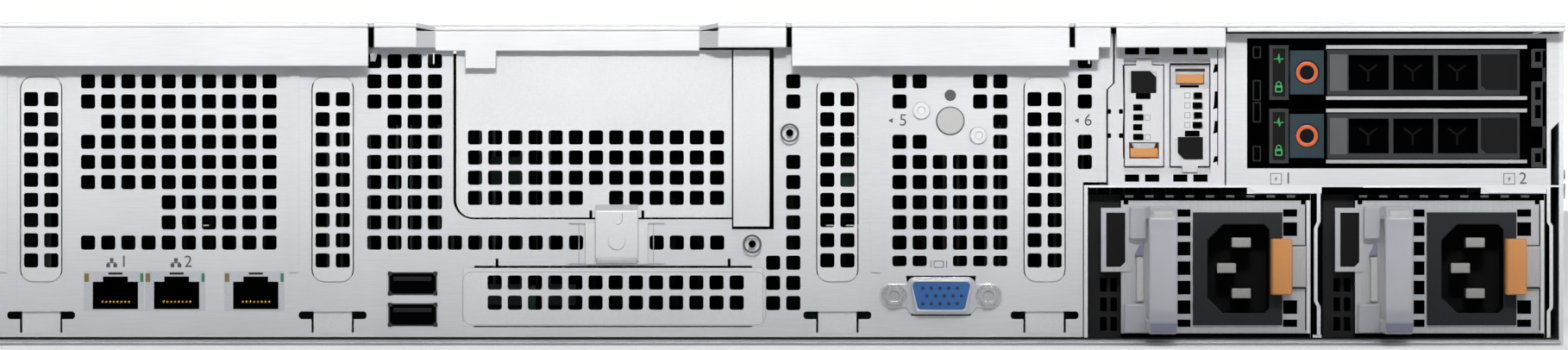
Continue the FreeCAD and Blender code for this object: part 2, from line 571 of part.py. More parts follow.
def slot_fillers():
    """Vented brackets behind the wall, folded forward at the top, whose raised plates fill the slots."""
    fillers = []
    for name in SLOTS:
        slot = getattr(S, name)
        x = slot + (S.slot_w - S.tongue_w) / 2
        top = S.slot_high + S.sheet
        spare = (S.tongue_w - S.vent_step - S.vent) / 2
        holes = vents(x + spare, S.filler_vent_top, range(2), range(int(S.filler_rows.value)))
        bracket = sheet_shape(hole(x, S.wall_low, S.tongue_w, top - S.wall_low), holes, S.filler_t)
        plate = sheet_shape(slot_edge(slot, S.play), holes, S.wall_t - S.recess_deep)
        plate.translate(FreeCAD.Vector(0, (S.recess_deep - S.wall_t).value, 0))
        fold = Part.makeBox(S.tongue_w.value, S.filler_fold.value, S.filler_t.value,
                            FreeCAD.Vector(x.value, S.filler_t.value, (top - S.filler_t).value))
        fillers.append(bracket.fuse([plate, fold]).removeSplitter())
    feature_named("slot_fillers", Part.makeCompound(fillers), y_inside)


def riser_blank():
    """The vented blank with one rounded corner and two relief notches, and the post beside it."""
    holes = vents(S.blank_vent_x, S.blank_vent_top, range(int(S.blank_columns.value)), range(4), {(6, 3)})
    left, low, right = S.blank_x, S.blank_low, S.blank_x + S.blank_w
    notch_1, notch_2 = S.clamp_x - S.notch_w * 2, S.clamp_x + S.clamp_w + S.notch_w
    edge = [(left, low)]
    for notch in (notch_1, notch_2):
        edge += [(notch, low), (notch, low + S.notch_h), (notch + S.notch_w, low + S.notch_h),
                 (notch + S.notch_w, low)]
    edge += [(right, low), (right, S.blank_high), (left, S.blank_high)]
    plate = sheet_shape(rounded(edge, {0: S.blank_corner}), holes, S.wall_t)
    post = Part.makeBox(S.post_w.value, (S.post_out + S.wall_t).value, (S.blank_high - S.post_low).value,
                        FreeCAD.Vector((right + S.blank_gap / 2).value, -S.post_out.value, S.post_low.value))
    feature_named("riser_blank", Part.makeCompound([plate, post]), y_wall)


def riser_clamp():
    """The blank's tab: it bends out over the wall's edge and is screwed down on a pad."""
    clamp = body_named("riser_clamp")
    pad(clamp, "XZ", y_wall - S.wing_t, S.wing_t, rect(S.wing_x, S.wing_low, S.wing_w, S.wing_h))
    under, out = y_wall - S.wing_t, y_wall - S.wing_t - S.clamp_t
    low, bend = S.blank_low, S.clamp_bend
    pad(clamp, "YZ", S.clamp_x, S.clamp_w, outline(
        (under, S.clamp_low), (under, low), (y_wall, low + bend), (y_wall, low + bend * 2), (out, low + bend),
        (out, S.clamp_low)))


def port_filler():
    x, low = S.port_blank_x, S.port_blank_low
    holes = vents(S.port_vent_x, S.port_vent_top, range(int(S.blank_columns.value)), range(2))
    plate = sheet_shape(hole(x, low, S.port_blank_w, S.port_blank_h), holes, S.wall_t)
    feature_named("port_filler", plate, y_wall)


def panel_screws():
    """Screw heads and bosses that stand on the wall's outer face."""
    out = S.sheet / 2
    heads = [cut(rod(x, y_wall - out, z, S.screw_r, out), rod(x, y_wall - out, z, S.screw_hole_r, out / 2))
             for x, z in PANEL_SCREWS]
    clamp_face = y_wall - S.wing_t - S.clamp_t
    heads.append(rod(S.clamp_x + S.clamp_w / 2, clamp_face - out, S.clamp_screw_z, S.screw_r, out))
    named("panel_screws", *heads)


def io_ports():
    shells = []
    for name in NETWORK_PORTS:
        x = getattr(S, name)
        low = S.rj_low + S.rj_rim
        left = x + S.rj_hole_left
        mouth = block(left, y_wall, low, S.rj_hole_w, S.rj_hole_deep, S.rj_hole_h)
        key_x = left + (S.rj_hole_w - S.rj_key_w) / 2
        key = block(key_x, y_wall, low + S.rj_hole_h, S.rj_key_w, S.rj_hole_deep, S.rj_key_h)
        shells.append(cut(block(x, y_wall, S.rj_low, S.rj_w, S.rj_deep, S.rj_h), mouth, key))
    for low in (S.usb_low_z, S.usb_high_z):
        wide, high = S.usb_w - S.usb_wall * 2, S.usb_h - S.usb_wall * 2
        deep = S.usb_deep - S.usb_wall * 2
        tongue_z = low + S.usb_h - S.usb_wall * 3 - S.usb_tongue_h
        mouth = block(S.usb_x + S.usb_wall, y_wall, low + S.usb_wall, wide, deep, high)
        shells.append(fuse(cut(block(S.usb_x, y_wall, low, S.usb_w, S.usb_deep, S.usb_h), mouth),
                           block(S.usb_x + (S.usb_w - S.usb_tongue_w) / 2, y_wall + S.usb_wall * 2, tongue_z,
                                 S.usb_tongue_w, deep, S.usb_tongue_h)))
    named("io_ports", *shells)


def vga_edge(margin):
    """The D-shaped edge of the display socket, wider at the top."""
    left, low = S.vga_x - margin, S.vga_low - margin
    right, top = S.vga_x + S.vga_w + margin, S.vga_low + S.vga_h + margin
    return [(left + S.vga_slope, low), (right - S.vga_slope, low), (right, top), (left, top)]


def vga_port():
    port = body_named("vga_port")
    deep = S.vga_out + S.vga_deep
    pad(port, "XZ", y_wall - S.vga_out, deep, outline(*vga_edge(0)))
    pocket(port, "XZ", y_wall - S.vga_out, S.vga_out, outline(*vga_edge(-S.vga_wall)))
    insert_edge = outline(*vga_edge(-S.vga_wall * 1.6))
    pad(port, "XZ", y_wall - S.vga_out + S.vga_wall, S.vga_out - S.vga_wall, insert_edge)
    middle = S.vga_x + S.vga_w / 2
    for row in range(3):
        x = middle - S.pin_step * (2 + 0.5 * (row % 2))
        z = S.vga_low + S.vga_h / 2 + S.pin_row * (row - 1)
        pin = pocket(port, "XZ", y_wall - S.vga_out, S.vga_out, disc(x, z, S.pin_r))
        in_a_row(port, pin, "H_Axis", S.pin_step, 5)
    for x in (S.vga_x - S.nut_gap, S.vga_x + S.vga_w + S.nut_gap):
        z = S.vga_low + S.vga_h / 2
        corners = [(x + S.nut_r * math.cos(TURN * k / 6), z + S.nut_r * math.sin(TURN * k / 6))
                   for k in range(6)]
        pad(port, "XZ", y_wall - S.nut_out, S.nut_out, outline(*corners))


def id_button():
    """A round push button with a collar behind the wall."""
    button = body_named("id_button")
    pad(button, "XZ", y_wall - S.id_travel, S.id_long, disc(S.id_x, S.id_z, S.id_r))
    pad(button, "XZ", y_inside + S.play, S.id_travel, disc(S.id_x, S.id_z, S.id_r + S.id_collar))


# ---- boot module

def boot_housing():
    housing = body_named("boot_housing")
    top = S.wall_high
    right, jog = S.boot_x + S.boot_w, S.boot_jog
    pad(housing, "XZ", y_wall, S.boot_deep, outline(
        (S.boot_x, roof_z), (right, roof_z), (right, top), (S.boot_x + jog, top),
        (S.boot_x + jog, S.boot_jog_z), (S.boot_x, S.boot_jog_z - jog)))
    clear = S.play
    channels = [rect(S.carrier_1_x + S.carrier_step * k - clear, S.carrier_low - clear,
                     S.carrier_w + clear * 2, S.carrier_h + clear * 2) for k in range(2)]
    pocket(housing, "XZ", y_wall, S.boot_deep - S.boot_wall, *channels)
    mouth_low = S.carrier_low - S.boot_tab_h - clear
    pocket(housing, "XZ", y_wall, S.boot_sink * 1.5 + clear,
           rect(S.carrier_1_x - clear, mouth_low, S.carrier_step + S.carrier_w + clear * 2,
                S.carrier_h + (S.boot_tab_h + clear) * 2))
    above = mouth_low + S.carrier_h + (S.boot_tab_h + clear) * 2 + S.boot_wall
    pairs = [rect(x, z, S.vent, S.boot_vent_h) for z in (roof_z + S.boot_wall, above)
             for x in (S.carrier_1_x, S.carrier_1_x + S.boot_vent_step)]
    face_vents = pocket(housing, "XZ", y_wall, S.boot_sink, *pairs)
    in_a_row(housing, face_vents, "H_Axis", S.vent_step, 2)


def boot_carrier(number):
    """A long narrow carrier; its face has a label bed, a latch bed and a row of sockets."""
    carrier = body_named(f"boot_carrier_{number}")
    x = S.carrier_1_x + S.carrier_step * (number - 1)
    y = y_wall + S.boot_sink
    low, high, wide = S.carrier_low, S.carrier_h, S.carrier_w
    pad(carrier, "XZ", y, S.carrier_deep, rect(x, low, wide, high))
    tab_x = x + (wide - S.boot_tab_w) / 2
    side = S.boot_latch_at
    if number == 1:
        tab_z, latch_z = low + high, low + side
        label_z, socket_x, socket_z = low + S.label_1_low, x + S.socket_1_in, low + S.socket_1_low
    else:
        tab_z, latch_z = low - S.boot_tab_h, low + high - side - S.boot_latch_h
        label_z, socket_x, socket_z = low + S.label_2_low, x + S.socket_2_in, low + S.socket_2_low
    pad(carrier, "XZ", y, S.boot_sink / 2, rect(tab_x, tab_z, S.boot_tab_w, S.boot_tab_h))
    margin = (wide - S.boot_latch_w) / 2 - S.play
    travel = S.boot_travel + S.play * 2
    pocket(carrier, "XZ", y, S.boot_latch_out * 2,
           rect(x + margin, latch_z - S.play, S.boot_latch_w + S.play * 2, S.boot_latch_h + travel))
    pocket(carrier, "XZ", y, S.play, rect(x + margin, label_z, S.boot_latch_w, S.boot_label_h))
    socket = pocket(carrier, "XZ", y, S.boot_sink, rect(socket_x, socket_z, S.socket_w, S.boot_tab_h))
    in_a_row(carrier, socket, "V_Axis", S.socket_step, 4)


def boot_latch(number):
    latch = body_named(f"boot_latch_{number}")
    x = S.carrier_1_x + S.carrier_step * (number - 1) + (S.carrier_w - S.boot_latch_w) / 2
    y = y_wall + S.boot_sink
    side = S.boot_latch_at
    z = S.carrier_low + side if number == 1 else S.carrier_low + S.carrier_h - side - S.boot_latch_h
    pad(latch, "XZ", y - S.play, S.boot_latch_out * 2 - S.play, rect(x, z, S.boot_latch_w, S.boot_latch_h))


# ---- rear drive cage

def rear_drive_cage():
    cage = body_named("rear_drive_cage")
    notch, notch_z = S.cage_notch, S.cage_notch_z
    pad(cage, "XZ", y_wall, S.cage_deep, outline(
        (S.cage_x, roof_z), (inner - notch, roof_z), (inner - notch, notch_z - notch), (inner, notch_z),
        (inner, S.wall_high), (S.cage_x, S.wall_high)))
    pocket(cage, "XZ", y_wall, S.cage_mouth_deep, rect(S.cage_mouth_x, S.cage_mouth_low, S.cage_mouth_w,
                                                       S.wall_high - S.sheet - S.cage_mouth_low))
    clear = S.play
    pocket(cage, "XZ", y_wall, S.cage_deep, *[
        rect(S.drive_x - clear, z - clear, S.drive_w + clear * 2, S.drive_h + clear * 2)
        for z in (S.drive_1_z, S.drive_2_z)])


def drive_z(number):
    return S.drive_1_z if number == 1 else S.drive_2_z


def rear_drive(number):
    """The carrier: a drive between rails, with a recessed face that holds the button and lever."""
    drive = body_named(f"rear_drive_{number}")
    x, z = S.drive_x, drive_z(number)
    face = y_wall + S.face_t
    pad(drive, "XZ", face, S.drive_deep - S.face_t, rect(x, z, S.drive_w, S.drive_h))
    pocket(drive, "XZ", y_wall + S.drive_deep - S.lamp_w, S.lamp_w,
           rect(x + S.lamp_w, z, S.drive_w - S.lamp_w * 2, S.drive_h / 3))
    pad(drive, "XZ", y_wall, S.face_t, rect(x, z, S.lamp_w, S.drive_h))
    rim = S.lamp_rim
    pocket(drive, "XZ", y_wall, S.lamp_deep, rect(x + rim, z + rim, S.lamp_w - rim * 2, S.drive_h - rim * 2))
    rail_x = x + S.lamp_w + S.button_w + S.play * 2
    rail = (S.drive_h - S.lever_h) / 2 - S.play
    rails_w = x + S.drive_w - rail_x
    pad(drive, "XZ", y_wall, S.face_t, rect(rail_x, z, rails_w, rail),
        rect(rail_x, z + S.drive_h - rail, rails_w, rail))
    bed_z = z + (S.drive_h - S.button_h) / 2 - S.play
    pocket(drive, "XZ", face, S.button_travel + S.play,
           rect(x + S.lamp_w, bed_z, S.button_w + S.play, S.button_h + S.play * 2))
    pivot = (x + S.drive_w - S.lever_end - S.lever_t / 2, y_wall + S.play + S.lever_t / 2)
    pocket(drive, "XY", z, S.drive_h, disc(*pivot, S.pivot_r + S.play))


def rear_button(number):
    button = body_named(f"rear_button_{number}")
    x = S.drive_x + S.lamp_w + S.play
    z = drive_z(number) + (S.drive_h - S.button_h) / 2
    y = y_wall - S.button_out
    pad(button, "XZ", y, S.face_t + S.button_out - S.play, rect(x, z, S.button_w - S.play, S.button_h))
    middle = (x + S.button_w / 2, z + S.button_h / 2)
    pocket(button, "XZ", y, S.ring_t / 2, disc(*middle, S.ring_r + S.ring_t), disc(*middle, S.ring_r))


def rear_lever(number):
    """The swinging handle: three windows between a grip and a label bed, pinned at its right end."""
    lever = body_named(f"rear_lever_{number}")
    left = S.drive_x + S.lamp_w + S.button_w + S.play * 3
    z = drive_z(number) + (S.drive_h - S.lever_h) / 2
    right = S.drive_x + S.drive_w - S.lever_end
    y = y_wall + S.play
    wide = right - left
    pad(lever, "XZ", y, S.lever_t, rect(left, z, wide, S.lever_h))
    window = S.window_h
    window_z = z + S.window_low
    first = left + S.lamp_w + S.play * 2
    openings = pocket(lever, "XZ", y, S.lever_t, rect(first, window_z, S.window_w, window))
    in_a_row(lever, openings, "H_Axis", S.window_step, 3)
    label_x, corner = first + S.window_step * 3 + S.play, S.lever_end
    pocket(lever, "XZ", y, S.play, outline(
        (label_x + corner, window_z), (right - corner, window_z), (right - corner, window_z + window),
        (label_x, window_z + window), (label_x, window_z + corner)))
    out = S.pivot_out
    pad(lever, "XY", z - out, S.lever_h + out * 2, disc(right - S.lever_t / 2, y + S.lever_t / 2, S.pivot_r))


# ---- power supplies

def psu_cage():
    """Sheet walls round the two supply bays, with vent rows in the top."""
    cage = body_named("psu_cage")
    low, top = S.floor_t, S.bay_low + S.bay_h
    pad(cage, "XZ", y_wall, S.bay_deep,
        outline((S.bay_x - S.bay_wall, low), (S.bay_x, low), (S.bay_x, top), (inner, top), (inner, roof_z),
                (S.bay_x - S.bay_wall, roof_z)))
    divider = S.bay_x + S.bay_w
    pad(cage, "XZ", y_wall, S.bay_deep, rect(divider, low, S.bay_step - S.bay_w, top - low))
    pad(cage, "XZ", y_wall, S.bay_deep, rect(divider + S.bay_step, low, S.bay_wall, top - low))
    lip_x, lip_w = S.bay_x + S.bay_lip_in, S.bay_w - S.bay_lip_in
    pad(cage, "XZ", y_wall, S.bay_wall, rect(lip_x, top - S.bay_lip_h, lip_w, S.bay_lip_h),
        rect(lip_x + S.bay_step, top - S.bay_lip_h, lip_w, S.bay_lip_h))
    slots = pocket(cage, "XY", top, S.bay_wall,
                   rect(S.bay_x + S.vent_step, y_wall + S.cage_deep + S.vent_step, S.bay_w, S.vent))
    in_a_row(cage, slots, "V_Axis", S.vent_step * 2, 6)


def psu_left(number):
    return S.bay_x + (S.bay_w - S.psu_w) / 2 + S.bay_step * (number - 1)


def psu_case(number):
    """A stepped steel case with vent columns beside the inlet's opening."""
    case = body_named(f"psu_{number}_case")
    x, low = psu_left(number), S.psu_low
    pad(case, "XY", low, S.psu_h, outline(
        (x, y_wall + S.psu_notch_deep), (x + S.psu_notch, y_wall + S.psu_notch_deep),
        (x + S.psu_notch, y_wall), (x + S.psu_w, y_wall), (x + S.psu_w, y_wall + S.psu_deep),
        (x, y_wall + S.psu_deep)))
    pocket(case, "XZ", y_wall, S.inlet_deep,
           rect(x + S.inlet_x, low + S.inlet_low, S.inlet_w, S.inlet_h))
    last = S.psu_vent_rows - 1
    for start, step, count in ((S.psu_vents_left, S.psu_vent_step, S.psu_vent_rows),
                               (S.psu_vents_right, S.psu_vent_step * last, 2)):
        column = pocket(case, "XZ", y_wall, S.psu_notch_deep / 2,
                        rect(x + start, low + S.psu_vent_low, S.psu_vent_w, S.psu_vent_h))
        in_a_row(case, column, "V_Axis", step, count)
        pocket(case, "XZ", y_wall, S.psu_notch_deep / 2,
               rect(x + start, low + S.psu_half_low, S.psu_vent_w, S.psu_half_h),
               rect(x + start, low + S.psu_half_high, S.psu_vent_w, S.psu_half_h))
    side, side_low = x + S.psu_side_vent_x, low + S.psu_side_vent_low
    column = pocket(case, "XZ", y_wall + S.psu_notch_deep, S.psu_notch_deep,
                    rect(side, side_low, S.psu_side_vent_w, S.psu_vent_h),
                    rect(side + S.psu_side_vent_step, side_low, S.psu_side_vent_w, S.psu_vent_h))
    in_a_row(case, column, "V_Axis", S.psu_vent_step, S.psu_side_vent_rows)
    nick_z, nick = low + S.psu_h - S.psu_nick * 2, S.psu_nick
    pocket(case, "XZ", y_wall, nick, rect(x + S.psu_notch + nick / 2, nick_z, nick, nick),
           rect(x + S.psu_w - nick * 2, nick_z, nick, nick))
    pad(case, "XZ", y_wall - S.tag_t, S.tag_t, rect(x + S.tag_x, low + S.tag_low, S.tag_w, S.tag_h))
    rim = S.tag_rim
    left, right = x + S.tag_x + rim, x + S.tag_x + S.tag_w - rim
    foot, head = low + S.tag_low + rim, low + S.tag_low + S.tag_h - rim
    pocket(case, "XZ", y_wall - S.tag_t, S.tag_deep, outline(
        (left, foot), (right - rim, foot), (right, foot + rim), (right, head), (left, head)))
    plug = S.psu_notch
    pad(case, "XZ", y_wall + S.psu_deep, S.psu_notch_deep - S.play,
        rect(x + plug, low + plug / 2, S.psu_w / 2, plug / 3))


def psu_inlet(number):
    """A mains inlet turned on its side: two cut corners and three flat pins."""
    inlet = body_named(f"psu_{number}_inlet")
    x, z = psu_left(number) + S.inlet_x, S.psu_low + S.inlet_low
    y = y_wall - S.inlet_out
    pad(inlet, "XZ", y, S.inlet_out + S.inlet_deep, rect(x, z, S.inlet_w, S.inlet_h))
    left, low = x + S.mouth_x, z + S.mouth_low
    right, top, corner, bevel = left + S.mouth_w, low + S.mouth_h, S.mouth_corner, S.mouth_bevel
    pocket(inlet, "XZ", y, S.mouth_deep, outline(
        (left + corner, low), (right - bevel, low), (right, low + bevel), (right, top - bevel),
        (right - bevel, top), (left + corner, top), (left, top - corner), (left, low + corner)))
    middle = z + S.inlet_h / 2 - S.blade_t / 2
    pad(inlet, "XZ", y + S.blade_in, S.blade_long,
        rect(left + S.blade_left, middle, S.blade_w, S.blade_t),
        rect(left + S.blade_left + S.blade_shift, middle - S.blade_step, S.blade_w, S.blade_t),
        rect(left + S.blade_left + S.blade_shift, middle + S.blade_step, S.blade_w, S.blade_t))


def psu_handle(number):
    """A clear loop that stands out from the supply, with cut corners and a foot at each end."""
    handle = body_named(f"psu_{number}_handle")
    x, low = psu_left(number) + S.handle_x, S.psu_low + S.handle_low
    top, bar, turn = low + S.handle_h, S.handle_bar, S.handle_round
    face = y_wall
    pad(handle, "YZ", x, S.handle_w, outline(
        (face, low), (face, low + bar), (y_back + bar + turn, low + bar), (y_back + bar, low + bar + turn),
        (y_back + bar, top - bar - turn), (y_back + bar + turn, top - bar), (face, top - bar), (face, top),
        (y_back + turn, top), (y_back, top - turn), (y_back, low + turn), (y_back + turn, low)))
    pad(handle, "XZ", face - bar, bar,
        rect(x - S.handle_foot, top - S.handle_foot_h, S.handle_foot, S.handle_foot_h),
        rect(x - S.handle_heel, low, S.handle_heel, S.handle_heel_h))


def psu_release(number):
    """The sprung release tab: a finger piece on a steel strap."""
    release = body_named(f"psu_{number}_release")
    x, z = psu_left(number) + S.release_x, S.psu_low + S.release_low
    y = y_wall - S.play
    pad(release, "XZ", y - S.inlet_out - S.strap_t, S.strap_t,
        rect(x, z + (S.release_h - S.strap_h) / 2, S.release_w + S.strap_w, S.strap_h))
    pad(release, "XZ", y - S.release_out, S.release_out - S.inlet_out - S.strap_t,
        rect(x, z, S.release_w, S.release_h))
    pocket(release, "XY", z, S.release_h, outline(
        (x, y - S.release_out), (x + S.strap_t, y - S.release_out), (x, y - S.release_out + S.strap_t)))


# ---- inside

def system_board():
    board = body_named("system_board")
    y = y_wall + S.board_gap
    end = y + S.board_long
    bays_end = y_wall + S.bay_deep + S.psu_notch_deep
    left, narrow, wide = -inner + S.board_left, S.bay_x - S.bay_wall - S.board_right, inner - S.board_left
    pad(board, "XY", board_z, S.board_t, outline((left, y), (narrow, y), (narrow, bays_end), (wide, bays_end),
                                                 (wide, end), (left, end)))
    edge = S.board_gap
    for x in (left + edge, narrow - edge):
        foot = pad(board, "XY", S.floor_t, S.standoff, disc(x, y + edge, S.standoff_r))
        in_a_row(board, foot, "V_Axis", (S.board_long - edge * 2) / 3, 4)


def heatsinks():
    """Two finned coolers, one over each processor."""
    sinks = body_named("heatsinks")
    low = board_z + S.board_t
    for side in (-1, 1):
        x = S.cpu_step / 2 * side - S.sink_w / 2
        y = y_wall + S.cpu_y
        pad(sinks, "XY", low, S.sink_base, rect(x, y, S.sink_w, S.sink_long))
        fin = pad(sinks, "XY", low + S.sink_base, S.sink_h - S.sink_base, rect(x, y, S.fin_t, S.sink_long))
        in_a_row(sinks, fin, "H_Axis", S.fin_step, S.fin_count)


def memory_modules():
    """Four banks of modules upright in their sockets."""
    banks = body_named("memory_modules")
    low = board_z + S.board_t
    room = S.dimm_step * S.dimm_count
    starts = (-S.cpu_step / 2 - S.sink_w / 2 - room, S.cpu_step / 2 - S.sink_w / 2 - room,
              -S.cpu_step / 2 + S.sink_w / 2 + S.dimm_t, S.cpu_step / 2 + S.sink_w / 2 + S.dimm_t)
    for x in starts:
        y = y_wall + S.dimm_y
        socket = pad(banks, "XY", low, S.dimm_socket, rect(x, y, S.dimm_t, S.dimm_long))
        in_a_row(banks, socket, "H_Axis", S.dimm_step, S.dimm_count)
        module = pad(banks, "XY", low + S.dimm_socket, S.dimm_h - S.dimm_socket,
                     rect(x + S.dimm_t / 3, y + S.dimm_t, S.dimm_t / 3, S.dimm_long - S.dimm_t * 2))
        in_a_row(banks, module, "H_Axis", S.dimm_step, S.dimm_count)


def air_shroud():
    """A folded plastic tunnel over the coolers and memory, on two long feet."""
    shroud = body_named("air_shroud")
    x, low, top, slope = S.shroud_w / 2, board_z + S.board_t, S.shroud_top, S.shroud_slope
    skin = S.shroud_t
    pad(shroud, "XZ", y_wall + S.shroud_y, S.shroud_long, outline(
        (-x, low), (-x + skin, low), (-x + skin, top - slope), (-x + slope + skin, top - skin),
        (x - slope - skin, top - skin), (x - skin, top - slope), (x - skin, low), (x, low),
        (x, top - slope + skin), (x - slope, top), (-x + slope, top), (-x, top - slope + skin)))


def risers():
    """Two upright riser cards on brackets, each with a long socket."""
    cards = []
    y = y_inside + S.riser_in
    low = board_z + S.board_t
    for x in (S.riser_1_x, S.riser_2_x):
        cards.append(fuse(
            block(x, y, S.riser_low, S.board_t, S.riser_long, S.riser_h),
            block(x, y + S.riser_long / 3, low, S.board_t * 2, S.riser_slot_long,
                  S.riser_low - low + S.board_t),
            block(x - S.riser_slot_w, y + S.riser_long / 3, S.riser_low + S.riser_h / 2, S.riser_slot_w,
                  S.riser_slot_long, S.riser_slot_w)))
    named("risers", *cards)


def fan_centres():
    first = -S.fan_step * (FANS - 1) / 2
    return [first + S.fan_step * number for number in range(FANS)]


def fan_housings():
    """Four square frames with a round duct and a motor seat on three struts, side by side."""
    frames = []
    y = y_ear - S.fan_y
    z = fan_low + S.fan_size / 2
    for centre in fan_centres():
        frame = cut(block(centre - S.fan_size / 2, y, fan_low, S.fan_size, S.fan_deep, S.fan_size),
                    rod(centre, y, z, S.duct_r, S.fan_deep))
        arm = S.duct_r + S.strut_w / 2
        seat_y = y + S.fan_deep - S.strut_deep
        frames.append(fuse(frame, rod(centre, seat_y, z, S.fan_hub_r, S.strut_deep),
                           block(centre - arm, seat_y, z - S.strut_w / 2, arm * 2, S.strut_deep, S.strut_w),
                           block(centre - S.strut_w / 2, seat_y, z - arm, S.strut_w, S.strut_deep, arm * 2)))
    named("fan_housings", *frames)


def fan_rotor(number):
    """A hub with curved blades, made once and set round the fan's axis."""
    rotor = body_named(f"fan_rotor_{number}")
    y = y_ear - S.fan_y + S.fan_deep - S.strut_deep - S.rotor_deep - S.play
    pad(rotor, "XZ", 0, S.rotor_deep, disc(0, 0, S.rotor_hub_r))
    lean, thick = S.rotor_deep / 2, S.strut_w / 2
    root, tip = S.rotor_hub_r - S.strut_w, S.rotor_r
    blade = pad(rotor, "XZ", S.strut_w / 2, S.rotor_deep - S.strut_w, outline(
        (0, root), (thick, root), (lean / 2 + thick, (root + tip) / 2), (lean + thick, tip - thick),
        (lean, tip - thick / 2), (lean / 2, (root + tip) / 2)))
    ring = rotor.newObject("PartDesign::PolarPattern", "Blades")
    ring.Originals = [blade]
    ring.Axis = (blade.Profile[0], ["N_Axis"])
    ring.Angle = 360
    bind(ring, "Occurrences", S.blade_count)
    rotor.Tip = ring
    place(rotor, fan_centres()[number - 1], y, fan_low + S.fan_size / 2)


# ---- front

def bay_left(column):
    return bays_left + S.bay_pitch * column + (S.bay_pitch - S.drive3_w) / 2


def bay_low(row):
    return S.floor_t + S.row_pitch * row + S.rib_t / 4 + S.play


def front_cage():
    """Bay walls, guide shelves between the rows and the fixed front roof."""
    y = y_ear - S.front_deep
    low, high = S.floor_t, cover_low - S.floor_t
    pieces = [block(bays_left + S.bay_pitch * wall - S.rib_t / 2, y, low, S.rib_t, S.front_deep, high)
              for wall in range(columns + 1)]
    pieces += [block(bays_left + S.bay_pitch * column + S.rib_t / 2, y, low + S.row_pitch * row - S.rib_t / 4,
                     S.bay_pitch - S.rib_t, S.front_deep, S.rib_t / 2)
               for column in range(columns) for row in range(1, rows)]
    roof_y = y_ear - S.cover_front + S.play
    pieces.append(block(-half, roof_y, cover_low, S.body_w, y_ear - roof_y, S.sheet))
    named("front_cage", *pieces)


def front_drive(number):
    """A 3.5 inch carrier: drive, side rails and a vented front bezel."""
    drive = body_named(f"front_drive_{number}")
    x, z = bay_left(number - 1), bay_low(0)
    wide, high = S.drive3_w, S.drive3_h
    face = y_front - S.drive3_face
    pad(drive, "XZ", y_ear - S.drive3_deep, S.drive3_deep + S.front_out - S.drive3_face,
        rect(x, z, wide, high))
    pad(drive, "XZ", face, S.drive3_face, rect(x, z, wide, high))
    lever_x = x + wide - S.grip_w - S.grip_end - S.play
    pocket(drive, "XZ", y_front - S.grip_t - S.play, S.grip_t + S.play,
           rect(lever_x, z + (high - S.grip_h) / 2 - S.play, S.grip_w + S.play * 2, S.grip_h + S.play * 2))
    slots = pocket(drive, "XZ", face + S.grip_t, S.drive3_face - S.grip_t,
                   rect(x + S.vent_step / 2, z + S.vent_step / 2, S.vent, S.vent))
    in_a_row(drive, slots, "V_Axis", S.vent_step, 4)


def front_lever(number):
    """The swinging grip of a front carrier, with a row of slots and a round knuckle at its hinge."""
    lever = body_named(f"front_lever_{number}")
    x, z = bay_left(number - 1), bay_low(0)
    right = x + S.drive3_w - S.grip_end
    left = right - S.grip_w
    y = y_front - S.grip_t
    low = z + (S.drive3_h - S.grip_h) / 2
    knuckle = (S.grip_t - S.play) / 2
    pad(lever, "XZ", y, knuckle * 2, rect(left, low, S.grip_w - knuckle, S.grip_h))
    pad(lever, "XY", low, S.grip_h, disc(right - knuckle, y + knuckle, knuckle))
    openings = pocket(lever, "XZ", y, S.grip_t,
                      rect(left + S.vent_step * 2, low + S.vent / 2, S.vent, S.grip_h - S.vent))
    in_a_row(lever, openings, "H_Axis", S.vent_step, 10)


def drive_blanks():
    """Open-backed covers that close the unused bays."""
    blanks = []
    for row in range(1, rows):
        for column in range(columns):
            x, z = bay_left(column), bay_low(row)
            deep = S.front_out + S.drive3_face
            shell = block(x, y_front - deep, z, S.drive3_w, deep, S.drive3_h)
            hollow = block(x + S.blank_wall, y_front - deep, z + S.blank_wall, S.drive3_w - S.blank_wall * 2,
                           deep - S.blank_wall, S.drive3_h - S.blank_wall * 2)
            slots = [block(x + S.vent_step + S.grip_w / 2 * k, y_front - S.blank_wall, z + S.vent_step,
                           S.slot_vent_w - S.vent_step, S.blank_wall, S.slot_vent_h) for k in range(2)]
            blanks.append(cut(shell, hollow, *slots))
    named("drive_blanks", *blanks)


def backplane():
    plane = body_named("backplane")
    y = y_ear - S.front_deep - S.backplane_gap - S.backplane_t
    pad(plane, "XZ", y, S.backplane_t, rect(bays_left, S.floor_t, -bays_left * 2, S.backplane_h))
    for row in range(1, rows):
        slots = pocket(plane, "XZ", y, S.backplane_t, rect(bays_left + S.slot_vent_w / 2,
                                                           S.floor_t + S.row_pitch * row, S.slot_vent_w,
                                                           S.slot_vent_h))
        in_a_row(plane, slots, "H_Axis", S.bay_pitch, S.bay_columns)


def ear_left(side):
    return S.ear_span / 2 - S.ear_wide if side > 0 else -S.ear_span / 2


def control_ears():
    """The two front ears: a flange in front of the rack post, with a bed for the latch."""
    ears = body_named("control_ears")
    for side in (-1, 1):
        x = ear_left(side)
        pad(ears, "XZ", y_ear, S.front_out, rect(x, 0, S.ear_wide, S.body_h))
        flange_w = S.ear_span / 2 - half - S.play
        flange = half + S.play if side > 0 else x
        pocket(ears, "XZ", y_ear, S.ear_step, rect(flange, 0, flange_w, S.body_h))
        bed = x + S.ear_wide / 2 - S.rack_latch_w / 2 - (S.play if side < 0 else S.rack_latch_gap)
        pocket(ears, "XZ", y_front - S.rack_latch_t - S.play, S.rack_latch_t + S.play * 2,
               rect(bed, S.rack_latch_low - S.play, S.rack_latch_w + S.play + S.rack_latch_gap,
                    S.rack_latch_h + S.play * 2))
    middle = ear_left(1) + S.ear_wide / 2
    pocket(ears, "XZ", y_front - S.rack_latch_t, S.rack_latch_t, disc(middle, S.power_z, S.power_r + S.play))


